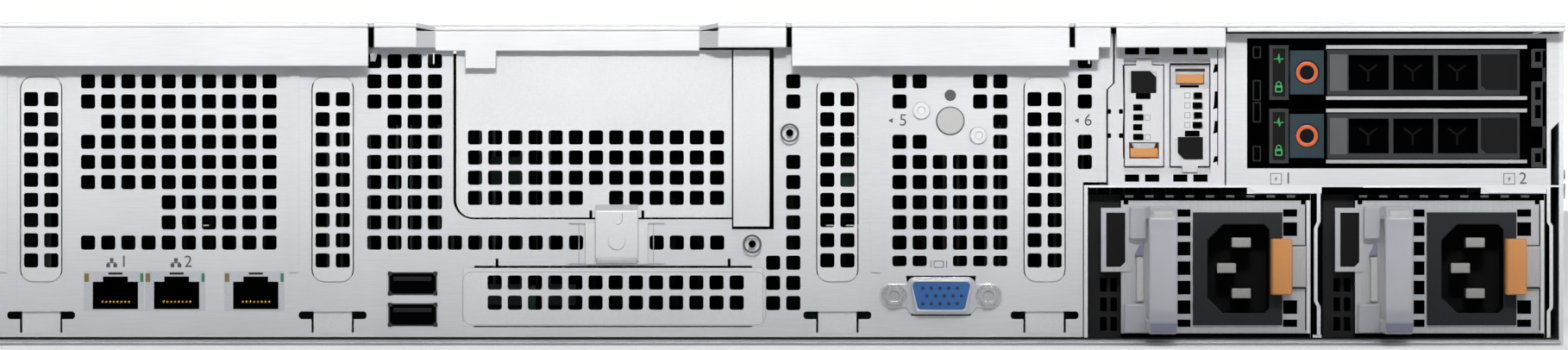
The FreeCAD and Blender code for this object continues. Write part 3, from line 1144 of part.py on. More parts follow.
def rack_latch(side, label):
    """The catch that holds an ear to its post, on a round knuckle at its outer side."""
    latch = body_named(label)
    x = ear_left(side) + S.ear_wide / 2 - S.rack_latch_w / 2
    y = y_front - S.rack_latch_t
    knuckle, rim = (S.rack_latch_t - S.play) / 2, S.rack_latch_rim
    if side < 0:
        flat_x, hinge_x, hollow_x = x + knuckle, x + knuckle, x + knuckle * 2
    else:
        flat_x, hinge_x, hollow_x = x, x + S.rack_latch_w - knuckle, x
    pad(latch, "XZ", y, knuckle * 2, rect(flat_x, S.rack_latch_low, S.rack_latch_w - knuckle, S.rack_latch_h))
    pad(latch, "XY", S.rack_latch_low, S.rack_latch_h, disc(hinge_x, y + knuckle, knuckle))
    pocket(latch, "XZ", y, knuckle, rect(hollow_x + rim, S.rack_latch_low + rim,
                                         S.rack_latch_w - knuckle * 2 - rim * 2, S.rack_latch_h - rim * 2))


def power_button():
    button = body_named("power_button")
    middle = ear_left(1) + S.ear_wide / 2
    y = y_front - S.rack_latch_t + S.power_travel + S.play
    pad(button, "XZ", y, S.rack_latch_t - S.power_travel - S.play, disc(middle, S.power_z, S.power_r))


def rail_studs():
    """Headed studs on both sides that drop into the rack's slides."""
    studs = []
    for number in range(int(S.stud_count.value)):
        y = y_wall + S.stud_first + S.stud_step * number
        for x, head_x in ((half, half + S.stud_out - S.stud_head), (-half - S.stud_out, -half - S.stud_out)):
            studs.append(fuse(rod(x, y, S.stud_z, S.stud_r, S.stud_out, "X"),
                              rod(head_x, y, S.stud_z, S.stud_head_r, S.stud_head, "X")))
    named("rail_studs", *studs)


def check_and_write():
    doc.recompute()
    faulty = [item.Name for item in doc.Objects if "Invalid" in item.State or "Error" in item.State]
    if faulty:
        raise RuntimeError(f"failed: {faulty}")
    for item in subparts:
        if item.Shape.isNull() or not item.Shape.isValid() or not item.Shape.Solids:
            raise RuntimeError(f"no valid solid in {item.Label}")
    os.makedirs("parts", exist_ok=True)
    for item in subparts:
        item.Shape.exportStep(f"parts/{item.Label}.step")
        print(f"{item.Label}: {len(item.Shape.Solids)} solids, {item.Shape.Volume:.0f} mm3")


def build():
    for make in (base_tray, top_cover, cover_lips, cover_latch, rear_panel, slot_fillers, riser_blank,
                 riser_clamp, port_filler, panel_screws, io_ports, vga_port, id_button, boot_housing,
                 rear_drive_cage, psu_cage, system_board, heatsinks, memory_modules, air_shroud, risers,
                 fan_housings, front_cage, drive_blanks, backplane, control_ears, power_button, rail_studs):
        make()
    for number in (1, 2):
        for make in (boot_carrier, boot_latch, rear_drive, rear_button, rear_lever, psu_case, psu_inlet,
                     psu_handle, psu_release):
            make(number)
    for number in (1, 2, 3, 4):
        fan_rotor(number)
        front_drive(number)
        front_lever(number)
    rack_latch(-1, "rack_latch_left")
    rack_latch(1, "rack_latch_right")
    check_and_write()


build()
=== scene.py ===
"""The looks of a 2U rack server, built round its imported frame.

Sizes are in millimetres unless a comment says metres.
"""

import json
import logging
import math
from dataclasses import dataclass, field
from enum import Enum
from typing import Callable, Iterable, Optional, Sequence

import bpy
from mathutils import Matrix, Vector

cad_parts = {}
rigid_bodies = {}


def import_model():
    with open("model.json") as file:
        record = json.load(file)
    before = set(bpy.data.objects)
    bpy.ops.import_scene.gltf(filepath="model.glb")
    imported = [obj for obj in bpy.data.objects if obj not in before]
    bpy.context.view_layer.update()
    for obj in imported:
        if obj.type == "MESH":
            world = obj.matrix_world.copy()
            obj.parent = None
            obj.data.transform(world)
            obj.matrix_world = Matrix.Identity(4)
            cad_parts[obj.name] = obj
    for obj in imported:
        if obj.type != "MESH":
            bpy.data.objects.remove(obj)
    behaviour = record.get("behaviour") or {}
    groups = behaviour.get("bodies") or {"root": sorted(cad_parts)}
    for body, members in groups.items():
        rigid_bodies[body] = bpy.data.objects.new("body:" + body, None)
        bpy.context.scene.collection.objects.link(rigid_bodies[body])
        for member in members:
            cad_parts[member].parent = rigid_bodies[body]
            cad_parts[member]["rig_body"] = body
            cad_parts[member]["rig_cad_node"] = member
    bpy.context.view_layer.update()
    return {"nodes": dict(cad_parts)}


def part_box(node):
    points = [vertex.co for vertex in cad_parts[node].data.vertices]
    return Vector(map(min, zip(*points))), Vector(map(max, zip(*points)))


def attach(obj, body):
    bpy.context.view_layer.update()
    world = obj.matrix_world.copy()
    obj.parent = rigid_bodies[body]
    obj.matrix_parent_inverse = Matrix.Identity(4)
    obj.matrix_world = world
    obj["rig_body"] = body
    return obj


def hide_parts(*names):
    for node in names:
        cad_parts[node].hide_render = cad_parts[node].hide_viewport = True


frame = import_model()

MM = 0.001
WELD = 0.002    # points closer than this are one
FLAT = 0.5      # faces that meet at less than this, in degrees, are one
PRINT = 0.05    # how thick a printed or scored line is
INLAY = 0.06    # how thick a thin inlay is
log = logging.getLogger("rack_server")

Point = tuple[float, float]
Loop = Sequence[Point]
Piece = bpy.types.Object
Tree = bpy.types.NodeTree


# ---- colours and finishes


def linear(colour: str) -> tuple[float, float, float, float]:
    """Turns an sRGB hex colour to the linear values that a shader takes.

    Args:
        colour: the colour, such as "#d9d9db".

    Returns:
        Red, green, blue and an alpha of 1.
    """
    parts = [int(colour[i:i + 2], 16) / 255 for i in (1, 3, 5)]
    red, green, blue = (c / 12.92 if c <= 0.04045 else ((c + 0.055) / 1.055) ** 2.4 for c in parts)
    return red, green, blue, 1.0


def add_node(tree: Tree, kind: str, inputs: Optional[dict] = None, **settings: object) -> bpy.types.Node:
    """Adds one shader node.

    Args:
        tree: the material's or world's node tree.
        kind: the node's type name.
        inputs: a value or another node's output for each input, by the input's name or number.
        settings: the node's own properties.

    Returns:
        The new node.
    """
    made = tree.nodes.new(kind)
    for name, value in settings.items():
        setattr(made, name, value)
    for key, value in (inputs or {}).items():
        if isinstance(value, bpy.types.NodeSocket):
            tree.links.new(value, made.inputs[key])
        else:
            made.inputs[key].default_value = value
    return made


@dataclass(frozen=True)
class Finish:
    """A material: what it is, how its surface was made, and what that gives the eye.

    The grain is a noise stretched along one axis; its size is that of one mark, in millimetres.
    """

    name: str
    colour: str
    shade: str
    metallic: float = 0.0
    roughness: float = 0.5
    rough_spread: float = 0.08
    grain: tuple[float, float, float] = (0.4, 0.4, 0.4)
    bump: float = 0.05
    blotch: float = 25.0
    ior: float = 1.5
    coat: float = 0.0

    def build(self) -> bpy.types.Material:
        """Makes the material, or gives back the one already made.

        Returns:
            The material.
        """
        made = bpy.data.materials.get(self.name)
        if made:
            return made
        made = bpy.data.materials.new(self.name)
        made.use_nodes = True
        tree = made.node_tree
        tree.nodes.clear()
        surface = self.shader(tree)
        add_node(tree, "ShaderNodeOutputMaterial", {"Surface": surface})
        made.diffuse_color = linear(self.colour)
        return made

    def shader(self, tree: Tree) -> bpy.types.NodeSocket:
        """Lays the grain, the colour's drift and the roughness into one shader.

        Args:
            tree: the material's node tree.

        Returns:
            The shader's output.
        """
        place = add_node(tree, "ShaderNodeTexCoord").outputs["Object"]
        stretch = add_node(tree, "ShaderNodeMapping", {
            "Vector": place, "Scale": tuple(1 / (size * MM) for size in self.grain)})
        fine = add_node(tree, "ShaderNodeTexNoise", {
            "Vector": stretch.outputs[0], "Scale": 1.0, "Detail": 3.0, "Roughness": 0.6})
        drift = add_node(tree, "ShaderNodeTexNoise", {
            "Vector": place, "Scale": 1 / (self.blotch * MM), "Detail": 2.0, "Roughness": 0.5})
        both = add_node(tree, "ShaderNodeMath", {0: fine.outputs[0], 1: drift.outputs[0]}, operation="ADD")
        spread = add_node(tree, "ShaderNodeMapRange",
                          {"Value": both.outputs[0], "From Min": 0.7, "From Max": 1.3})
        mix = add_node(tree, "ShaderNodeMix", {
            "Factor": spread.outputs[0], 6: linear(self.colour), 7: linear(self.shade)}, data_type="RGBA")
        rough = add_node(tree, "ShaderNodeMapRange", {
            "Value": fine.outputs[0], "From Min": 0.3, "From Max": 0.7,
            "To Min": self.roughness - self.rough_spread / 2,
            "To Max": self.roughness + self.rough_spread / 2})
        relief = add_node(tree, "ShaderNodeBump", {
            "Height": fine.outputs[0], "Strength": self.bump, "Distance": 0.1 * MM})
        body = add_node(tree, "ShaderNodeBsdfPrincipled", {
            "Base Color": mix.outputs[2], "Roughness": rough.outputs[0], "Normal": relief.outputs[0],
            "Metallic": self.metallic, "IOR": self.ior, "Coat Weight": self.coat})
        return body.outputs[0]


@dataclass(frozen=True)
class ClearFinish(Finish):
    """A clear moulding that lets part of what is behind it through."""

    through: float = 0.5

    def shader(self, tree: Tree) -> bpy.types.NodeSocket:
        """The grained moulding, mixed with plain transparency that thins where it faces the eye.

        Args:
            tree: the material's node tree.

        Returns:
            The shader's output.
        """
        solid = Finish.shader(self, tree)
        rim = add_node(tree, "ShaderNodeFresnel", {"IOR": 1.45})
        share = add_node(tree, "ShaderNodeMapRange", {
            "Value": rim.outputs[0], "From Min": 0.0, "From Max": 0.6,
            "To Min": 1 - self.through, "To Max": 1.0})
        empty = add_node(tree, "ShaderNodeBsdfTransparent")
        return add_node(tree, "ShaderNodeMixShader", {
            0: share.outputs[0], 1: empty.outputs[0], 2: solid}).outputs[0]


@dataclass(frozen=True)
class LitFinish(Finish):
    """A light pipe with a lamp behind it: the moulding's colour with a glow of its own."""

    glow: float = 0.6

    def shader(self, tree: Tree) -> bpy.types.NodeSocket:
        """The moulding with an even glow on the shader's own sockets.

        Args:
            tree: the material's node tree.

        Returns:
            The shader's output.
        """
        out = Finish.shader(self, tree)
        out.node.inputs["Emission Color"].default_value = linear(self.colour)
        out.node.inputs["Emission Strength"].default_value = self.glow
        return out


@dataclass(frozen=True)
class BoardFinish(Finish):
    """Solder resist over copper tracks: a fine grid of raised lines shows through the green."""

    track: float = 1.27

    def shader(self, tree: Tree) -> bpy.types.NodeSocket:
        """Adds tracks, one brick course to each, over the resist's own drift.

        Args:
            tree: the material's node tree.

        Returns:
            The shader's output.
        """
        out = Finish.shader(self, tree)
        body = out.node
        place = add_node(tree, "ShaderNodeTexCoord").outputs["Object"]
        tracks = add_node(tree, "ShaderNodeTexBrick", {
            "Vector": place, "Scale": 1 / (self.track * 8 * MM), "Mortar Size": 0.03,
            "Color1": linear(self.colour), "Color2": linear(self.shade), "Mortar": linear("#24523a")})
        tree.links.new(tracks.outputs[0], body.inputs["Base Color"])
        return out


class Paint(Enum):
    """The finishes of this machine."""

    # Galvanised sheet steel, skin-passed: pale and satin, with a faint grain along the roll; kept lighter
    # than the wall's copy as a painted highlight for the brighter light on the cover.
    CASE = Finish("galvanised_steel_skin_passed", "#e6e7e9", "#dcdee0", 0.35, 0.42, 0.10,
                  (9.0, 0.35, 0.35), 0.04)
    # The same sheet, punched and deburred: a darker copy of the lid's, painted shade for the wall below the
    # brighter cover.
    WALL = Finish("galvanised_steel_punched", "#d9dadc", "#d0d2d4", 0.35, 0.45, 0.10, (7.0, 0.4, 0.4), 0.04)
    # Plain blanking sheet, barrel-finished: slightly warmer and more even.
    BLANK = Finish("zinc_plated_steel_barrelled", "#e2e2e3", "#d8d9da", 0.35, 0.40, 0.08,
                   (0.6, 0.6, 0.6), 0.03)
    # Supply case, drawn steel: a soft vertical sheen.
    SUPPLY = Finish("drawn_steel_degreased", "#bcbec1", "#aeb1b4", 0.5, 0.38, 0.10, (0.4, 0.4, 6.0), 0.05)
    # Nickel-plated screws and nuts: bright, with fine turning marks.
    SCREW = Finish("nickel_plate_bright", "#c4c4c6", "#b2b3b5", 1.0, 0.28, 0.08, (0.3, 0.3, 0.3), 0.05)
    # Tinned socket shells: soft and bright.
    SHELL = Finish("tinned_brass_stamped", "#cfd1d4", "#bfc2c6", 0.8, 0.32, 0.08, (0.5, 0.5, 0.5), 0.04)
    # Gold flash over nickel on the contacts: a thin warm gleam.
    GOLD = Finish("gold_flash_contacts", "#c9a648", "#b38f35", 1.0, 0.3, 0.05, (0.3, 0.3, 0.3), 0.02)
    # Carrier rails, extruded aluminium: lines along the length.
    RAIL = Finish("aluminium_extruded", "#b4b4b5", "#9d9d9e", 0.85, 0.35, 0.10, (12.0, 0.15, 0.15), 0.06)
    # Lever and bezel, black-painted: fine grey-black texture.
    GRAPHITE = Finish("powder_coat_graphite", "#333436", "#2d2e2f", 0.0, 0.55, 0.10, (0.25, 0.25, 0.25),
                      0.12, 25.0, 1.35)
    # Moulded black housing plastic, spark-eroded texture.
    BLACK = Finish("abs_black_textured", "#0d0d0e", "#080809", 0.0, 0.65, 0.10, (0.3, 0.3, 0.3),
                   0.12, 25.0, 1.2)
    # Painted shade: a flat black with no gloss at all, laid in gaps, holes, vents and hollows that lie in
    # shadow.
    PITCH = Finish("painted_shade_black", "#020203", "#010101", 0.0, 0.95, 0.02, (0.6, 0.6, 0.6),
                   0.2, 12.0, 1.1)
    # Mains inlet, glass-filled nylon: dark slate with a low sheen.
    SLATE = Finish("nylon_slate_glass_filled", "#23262c", "#1c1f23", 0.0, 0.42, 0.10, (0.25, 0.25, 0.25),
                   0.08, 25.0, 1.3)
    # Push plates of the drive carriers: blue-grey moulding.
    TEAL = Finish("polycarbonate_slate_blue", "#2a3f48", "#23363e", 0.0, 0.45, 0.10, (0.3, 0.3, 0.3),
                  0.08, 25.0, 1.3)
    # Touch points that may be handled hot: terracotta moulding.
    ORANGE = Finish("acetal_terracotta", "#e69e5a", "#dd9450", 0.0, 0.45, 0.08, (0.3, 0.3, 0.3), 0.06)
    # The ring on the push plates: a stronger orange, printed and clear-coated.
    RING = Finish("pad_print_orange", "#e4662a", "#d95e26", 0.0, 0.4, 0.05, (0.3, 0.3, 0.3), 0.02)
    # Display socket insert, moulded polyester: an even mid blue with a low sheen.
    BLUE = Finish("pbt_blue_moulded", "#2f6fb6", "#2862a6", 0.0, 0.4, 0.08, (0.3, 0.3, 0.3), 0.05)
    # Pad-printed legends on steel: flat grey, with no gloss.
    INK = Finish("pad_print_grey", "#5b5d60", "#545659", 0.0, 0.6, 0.05, (0.2, 0.2, 0.2), 0.02)
    # Painted shadow along lines scored or pressed into the sheet: a soft grey.
    CREASE = Finish("painted_crease_shadow", "#a9acaf", "#9fa2a5", 0.4, 0.5, 0.05, (0.4, 0.4, 0.4), 0.03)
    # The identification button: light frosted moulding.
    FROST = Finish("polycarbonate_frosted", "#cfcfcd", "#c8c8c6", 0.0, 0.5, 0.06, (0.35, 0.35, 0.35), 0.08)
    # Clear handle, slightly smoked: shows the sheet behind it.
    CLEAR = ClearFinish("polycarbonate_clear_smoked", "#eceef4", "#e6e8ef", 0.0, 0.25, 0.04,
                        (6.0, 6.0, 6.0), 0.01, 18.0, 1.5, 0.2, 0.45)
    # Printed boards, green resist over copper: dark and glossy, ruled by the tracks.
    BOARD = BoardFinish("glass_epoxy_green_resist", "#123520", "#0f2c1d", 0.0, 0.4, 0.08,
                        (0.5, 0.5, 0.5), 0.1)
    # Chips and connector bodies, transfer-moulded: nearly black, with a dusty sheen.
    EPOXY = Finish("epoxy_black_moulded", "#17181a", "#121314", 0.0, 0.5, 0.08, (0.25, 0.25, 0.25),
                   0.1, 25.0, 1.3)
    # Cooler fins, skived aluminium: bright lines across each fin.
    FINS = Finish("aluminium_skived", "#8f9193", "#838587", 0.9, 0.4, 0.10, (0.3, 6.0, 0.3), 0.06)
    # Bare plates for a label: satin black.
    PLATE = Finish("polyester_label_black", "#08080a", "#060607", 0.0, 0.5, 0.05, (0.5, 0.5, 0.5),
                   0.02, 25.0, 1.22)
    # Drive face behind the windows, painted: a flat black that keeps no highlight.
    DEPTH = Finish("steel_painted_black", "#101417", "#0b0e10", 0.0, 0.7, 0.08, (0.4, 0.4, 0.4),
                   0.1, 25.0, 1.2)
    # The boot module's case: white paint over steel, a fine even egg-shell.
    HOUSING = Finish("steel_painted_white", "#eeedf0", "#e6e6e9", 0.0, 0.45, 0.08, (0.6, 0.6, 0.6), 0.03)
    # Boot carriers: white moulding with a faint flow mark.
    WHITE = Finish("abs_white_moulded", "#ecebee", "#e4e4e6", 0.0, 0.4, 0.08, (0.5, 0.5, 2.0), 0.04)
    # Cage guides: dark grey moulding.
    LINER = Finish("pa66_dark_grey_moulded", "#2c2c2e", "#252527", 0.0, 0.6, 0.08, (0.3, 0.3, 0.3), 0.1)
    # Grip of the drive levers: a lighter grey paint, slightly worn.
    BEZEL = Finish("powder_coat_mid_grey", "#565758", "#4e4f50", 0.1, 0.5, 0.1, (0.25, 0.25, 0.25), 0.1)
    # Mains pins: nickelled brass, matt from tumbling.
    PIN = Finish("nickelled_brass_tumbled", "#a3a3a1", "#969694", 0.3, 0.5, 0.08, (0.3, 0.3, 0.3), 0.04)
    # Release straps: spring steel, bare.
    STRAP = Finish("spring_steel_bare", "#b9b8b9", "#adacad", 0.4, 0.42, 0.08, (0.3, 0.3, 4.0), 0.04)
    # Thick ends of the clear handles, where the smoked resin looks lavender.
    SMOKE = Finish("polycarbonate_smoked_thick", "#8f90a6", "#85869c", 0.0, 0.3, 0.06,
                   (1.5, 1.5, 1.5), 0.03)
    # Contact wells of the display socket: a darker blue, painted shade so that they look deep.
    NAVY = Finish("pbt_blue_painted_well_shade", "#0e3564", "#0b2c55", 0.0, 0.6, 0.05, (0.3, 0.3, 0.3), 0.02)
    # Light pipes, clear mouldings over a lamp: a glow when lit, a dull tint when not.
    GREEN = LitFinish("light_pipe_green", "#1f9a4a", "#1c8f44", 0.0, 0.35, 0.05, (0.5, 0.5, 0.5),
                      0.02, glow=0.35)
    GREEN_OFF = Finish("light_pipe_green_unlit", "#3f8a63", "#397f5b", 0.0, 0.35, 0.05,
                       (0.5, 0.5, 0.5), 0.02)
    AMBER_OFF = Finish("light_pipe_amber_unlit", "#8d7b4b", "#837244", 0.0, 0.35, 0.05,
                       (0.5, 0.5, 0.5), 0.02)


# ---- the modelling bench


@dataclass(frozen=True)
class Room:
    """A box in millimetres, such as the one that a CAD node fills."""

    x0: float
    x1: float
    y0: float
    y1: float
    z0: float
    z1: float

    @classmethod
    def of(cls, node: str) -> "Room":
        """The box of one CAD node."""
        low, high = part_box(node)
        return cls(*(value / MM for pair in zip(low, high) for value in pair))

    @property
    def centre(self) -> tuple[float, float, float]:
        """The middle of the box."""
        return (self.x0 + self.x1) / 2, (self.y0 + self.y1) / 2, (self.z0 + self.z1) / 2


def alone(obj: Piece) -> None:
    """Selects one object and makes it active.

    Args:
        obj: the object.
    """
    if bpy.context.object and bpy.context.object.mode != "OBJECT":
        bpy.ops.object.mode_set(mode="OBJECT")
    bpy.ops.object.select_all(action="DESELECT")
    obj.select_set(True)
    bpy.context.view_layer.objects.active = obj


def settle(obj: Piece, name: str) -> Piece:
    """Names a piece and writes its place, turn and size into its mesh.

    Args:
        obj: the piece.
        name: its name.

    Returns:
        The same object.
    """
    alone(obj)
    obj.name = obj.data.name = name
    bpy.ops.object.transform_apply(location=True, rotation=True, scale=True)
    return obj


def block(name: str, room: Room) -> Piece:
    """A rectangular blank to shape further.

    Args:
        name: the piece's name.
        room: where it lies.

    Returns:
        The new object.
    """
    bpy.ops.object.select_all(action="DESELECT")
    size = (room.x1 - room.x0, room.y1 - room.y0, room.z1 - room.z0)
    bpy.ops.mesh.primitive_cube_add(
        size=1, location=[c * MM for c in room.centre], scale=[side * MM for side in size])
    return settle(bpy.context.object, name)


def round_bar(name: str, x: float, y: float, z: float, radius: float, long: float, axis: str = "Y",
              sides: int = 40, taper: float = 1.0) -> Piece:
    """A round blank from a point along +X, +Y or +Z.

    Args:
        name: the piece's name.
        x, y, z: the middle of its first end.
        radius: the first end's radius.
        long: its length.
        axis: the way it runs.
        sides: how many sides its circle has.
        taper: the far end's radius over the first end's.

    Returns:
        The new object.
    """
    bpy.ops.object.select_all(action="DESELECT")
    turn = {"X": (0, math.pi / 2, 0), "Y": (-math.pi / 2, 0, 0), "Z": (0, 0, 0)}[axis]
    way = {"X": Vector((1, 0, 0)), "Y": Vector((0, 1, 0)), "Z": Vector((0, 0, 1))}[axis]
    bpy.ops.mesh.primitive_cone_add(
        vertices=sides, radius1=radius * MM, radius2=radius * taper * MM, depth=long * MM,
        location=(Vector((x, y, z)) + way * long / 2) * MM, rotation=turn)
    return settle(bpy.context.object, name)


def cutout(name: str, loops: Sequence[Loop], y: float, thick: float) -> Piece:
    """A flat piece across Y with any outline, and holes where a loop lies in another.

    Args:
        name: the piece's name.
        loops: its outlines, as (x, z) points.
        y: its outer face.
        thick: how far it reaches towards +Y.

    Returns:
        The new mesh object.
    """
    bpy.ops.object.select_all(action="DESELECT")
    outline = bpy.data.curves.new(name, "CURVE")
    outline.dimensions, outline.fill_mode, outline.extrude = "2D", "BOTH", thick / 2 * MM
    for loop in loops:
        spline = outline.splines.new("POLY")
        spline.points.add(len(loop) - 1)
        for point, (x, z) in zip(spline.points, loop):
            point.co = (x * MM, z * MM, 0, 1)
        spline.use_cyclic_u = True
    piece = bpy.data.objects.new(name, outline)
    bpy.context.scene.collection.objects.link(piece)
    alone(piece)
    bpy.ops.object.convert(target="MESH")
    piece = bpy.context.object
    piece.rotation_euler = (math.pi / 2, 0, 0)
    piece.location = (0, (y + thick / 2) * MM, 0)
    settle(piece, name)
    return tidy_mesh(piece)


def tidy_mesh(obj: Piece) -> Piece:
    """Merges doubled points and turns every face outwards.

    Args:
        obj: the piece.

    Returns:
        The same object.
    """
    alone(obj)
    bpy.ops.object.mode_set(mode="EDIT")
    bpy.ops.mesh.select_all(action="SELECT")
    bpy.ops.mesh.remove_doubles(threshold=WELD * MM)
    bpy.ops.mesh.normals_make_consistent(inside=False)
    bpy.ops.object.mode_set(mode="OBJECT")
    return obj


def rounded(x0: float, x1: float, z0: float, z1: float, radius: float, steps: int = 5) -> list[Point]:
    """A rectangle with rounded corners, as points for a cutout.

    Args:
        x0, x1: its left and right edges.
        z0, z1: its lower and upper edges.
        radius: its corners' radius.
        steps: how many steps each corner takes.

    Returns:
        Its outline.
    """
    corners = ((x1 - radius, z1 - radius, 0), (x0 + radius, z1 - radius, 90),
               (x0 + radius, z0 + radius, 180), (x1 - radius, z0 + radius, 270))
    points = []
    for x, z, start in corners:
        for step in range(steps + 1):
            angle = math.radians(start + 90 * step / steps)
            points.append((x + radius * math.cos(angle), z + radius * math.sin(angle)))
    return points


def ring(x: float, z: float, radius: float, steps: int = 36) -> list[Point]:
    """A circle, as points for a cutout.

    Args:
        x, z: its middle.
        radius: its radius.
        steps: how many points it has.

    Returns:
        Its outline.
    """
    return [(x + radius * math.cos(2 * math.pi * k / steps), z + radius * math.sin(2 * math.pi * k / steps))
            for k in range(steps)]


def ribbon(points: Sequence[Point], wide: float) -> list[Point]:
    """A line of even width, as points for a cutout.

    Args:
        points: the line's points, as (x, z).
        wide: its width.

    Returns:
        The outline round it.
    """
    sides = []
    for sign in (1, -1):
        side = []
        for k, (x, z) in enumerate(points):
            before, after = points[max(k - 1, 0)], points[min(k + 1, len(points) - 1)]
            along = Vector((after[0] - before[0], after[1] - before[1])).normalized()
            side.append((x - sign * along.y * wide / 2, z + sign * along.x * wide / 2))
        sides.append(side)
    return sides[0] + sides[1][::-1]


def soften(obj: Piece, width: float, segments: int = 2, angle: float = 35) -> Piece:
    """Rounds a piece's sharp edges and shades the rounds smooth.

    Args:
        obj: the piece.
        width: the round's width.
        segments: its steps.
        angle: edges sharper than this are rounded, in degrees.

    Returns:
        The same object.
    """
    alone(obj)
    edge = obj.modifiers.new("edge", "BEVEL")
    edge.width, edge.segments, edge.limit_method = width * MM, segments, "ANGLE"
    edge.angle_limit = math.radians(angle)
    bpy.ops.object.modifier_apply(modifier=edge.name)
    bpy.ops.object.shade_smooth_by_angle(angle=math.radians(angle))
    flat = obj.modifiers.new("flat", "WEIGHTED_NORMAL")
    flat.keep_sharp, flat.weight = True, 100
    bpy.ops.object.modifier_apply(modifier=flat.name)
    return obj


def carve(obj: Piece, *cutters: Piece) -> Piece:
    """Cuts other pieces out of one, and deletes them.

    Args:
        obj: the piece that is cut.
        cutters: what is cut out of it.

    Returns:
        The same object.
    """
    for cutter in cutters:
        alone(obj)
        cut = obj.modifiers.new("cut", "BOOLEAN")
        cut.operation, cut.object, cut.solver = "DIFFERENCE", cutter, "EXACT"
        bpy.ops.object.modifier_apply(modifier=cut.name)
        bpy.data.objects.remove(cutter)
    return obj


def copy_of(obj: Piece, x: float = 0, y: float = 0, z: float = 0, turn: float = 0) -> Piece:
    """A copy of a piece with its own mesh, turned about Y at the origin and then moved.

    Args:
        obj: the piece.
        x, y, z: how far it moves.
        turn: its turn, in degrees.

    Returns:
        The copy.
    """
    made = obj.copy()
    made.data = obj.data.copy()
    turned = Matrix.Rotation(math.radians(turn), 4, "Y")
    made.data.transform(Matrix.Translation(Vector((x, y, z)) * MM) @ turned)
    bpy.context.scene.collection.objects.link(made)
    return made


def join(name: str, parts: Iterable[Piece]) -> Piece:
    """Makes one piece of several.

    Args:
        name: the new piece's name.
        parts: its parts.

    Returns:
        The joined piece.
    """
    parts = list(parts)
    alone(parts[0])
    for part in parts:
        part.select_set(True)
    if len(parts) > 1:
        bpy.ops.object.join()
    parts[0].name = parts[0].data.name = name
    return parts[0]


def fit(obj: Piece, body: str, paint: Paint) -> Piece:
    """Gives a finished piece its finish and its body, and reports it.

    Args:
        obj: the piece.
        body: the CAD body that it moves with.
        paint: its finish.

    Returns:
        The same object.
    """
    obj.data.materials.clear()
    obj.data.materials.append(paint.value.build())
    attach(obj, body)
    log.info("%s rides on %s", obj.name, body)
    return obj


def clad(name: str, width: float, node: str, body: str, paint: Paint, angle: float = 35,
         segments: int = 2) -> Piece:
    """Puts a copy in a CAD node's place: cleared of its triangles, rounded along its edges and fitted.

    Args:
        name: the piece's name.
        width: the round's width, or 0 for none.
        node: the CAD node.
        body: the CAD body that it moves with.
        paint: its finish.
        angle: edges sharper than this are rounded, in degrees.
        segments: the round's steps.

    Returns:
        The new piece, which stands for the node.
    """
    piece = frame["nodes"][node].copy()
    piece.data = piece.data.copy()
    piece.data.materials.clear()
    piece.parent = None
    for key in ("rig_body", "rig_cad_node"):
        if key in piece:
            del piece[key]
    bpy.context.scene.collection.objects.link(piece)
    piece.name = piece.data.name = name
    alone(piece)
    bpy.ops.object.mode_set(mode="EDIT")
    bpy.ops.mesh.select_all(action="SELECT")
    bpy.ops.mesh.remove_doubles(threshold=WELD * MM)
    bpy.ops.mesh.dissolve_limited(angle_limit=math.radians(FLAT))
    bpy.ops.object.mode_set(mode="OBJECT")
    if width:
        soften(piece, width, segments, angle)
    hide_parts(node)
    return fit(piece, body, paint)


def assemble(name: str, parts: Iterable[Piece], body: str, paint: Paint,
             edge: float = 0.0) -> Piece:
    """Joins parts into one piece and fits it.

    Args:
        name: the piece's name.
        parts: its parts.
        body: the CAD body that it moves with.
        paint: its finish.
        edge: the width of the round along its edges, or 0 for none.

    Returns:
        The fitted piece.
    """
    piece = join(name, parts)
    if edge:
        soften(piece, edge)
    return fit(piece, body, paint)


def darken(obj: Piece, wanted: Callable[[Vector, Vector], bool], paint: Paint = Paint.PITCH) -> None:
    """Gives some faces of a fitted piece a second finish, such as painted shade on the walls of a vent.

    Args:
        obj: the piece.
        wanted: says of a face's middle, in millimetres, and its normal whether it is one of them.
        paint: the second finish.
    """
    obj.data.materials.append(paint.value.build())
    last = len(obj.data.materials) - 1
    for face in obj.data.polygons:
        if wanted(face.center / MM, face.normal):
            face.material_index = last


def dress(paint: Paint, *nodes: str) -> None:
    """Gives CAD nodes that stay as they are a finish of this machine.

    Args:
        paint: the finish.
        nodes: the CAD nodes.
    """
    for name in nodes:
        node = frame["nodes"][name]
        if not node.material_slots:
            node.data.materials.append(None)
        for slot in node.material_slots:
            slot.material = paint.value.build()
        log.info("%s dressed in %s", name, paint.value.name)


def lettering(name: str, text: str, x: float, z: float, y: float, high: float) -> Piece:
    """Flat raised characters that face -Y, centred on a point.

    Args:
        name: the piece's name.
        text: the characters.
        x, z: their middle.
        y: the plane that they lie on.
        high: a digit's height.

    Returns:
        The new object.
    """
    bpy.ops.object.select_all(action="DESELECT")
    bpy.ops.object.text_add(location=(x * MM, y * MM, z * MM), rotation=(math.pi / 2, 0, 0))
    words = bpy.context.object
    words.data.body = text
    words.data.size = high / 0.69 * MM
    words.data.align_x, words.data.align_y = "CENTER", "CENTER"
    words.data.extrude = 0.02 * MM
    alone(words)
    bpy.ops.object.convert(target="MESH")
    return tidy_mesh(settle(bpy.context.object, name))


def wall_face() -> float:
    """Where the outer face of the rear wall lies along Y."""
    return Room.of("port_filler").y0


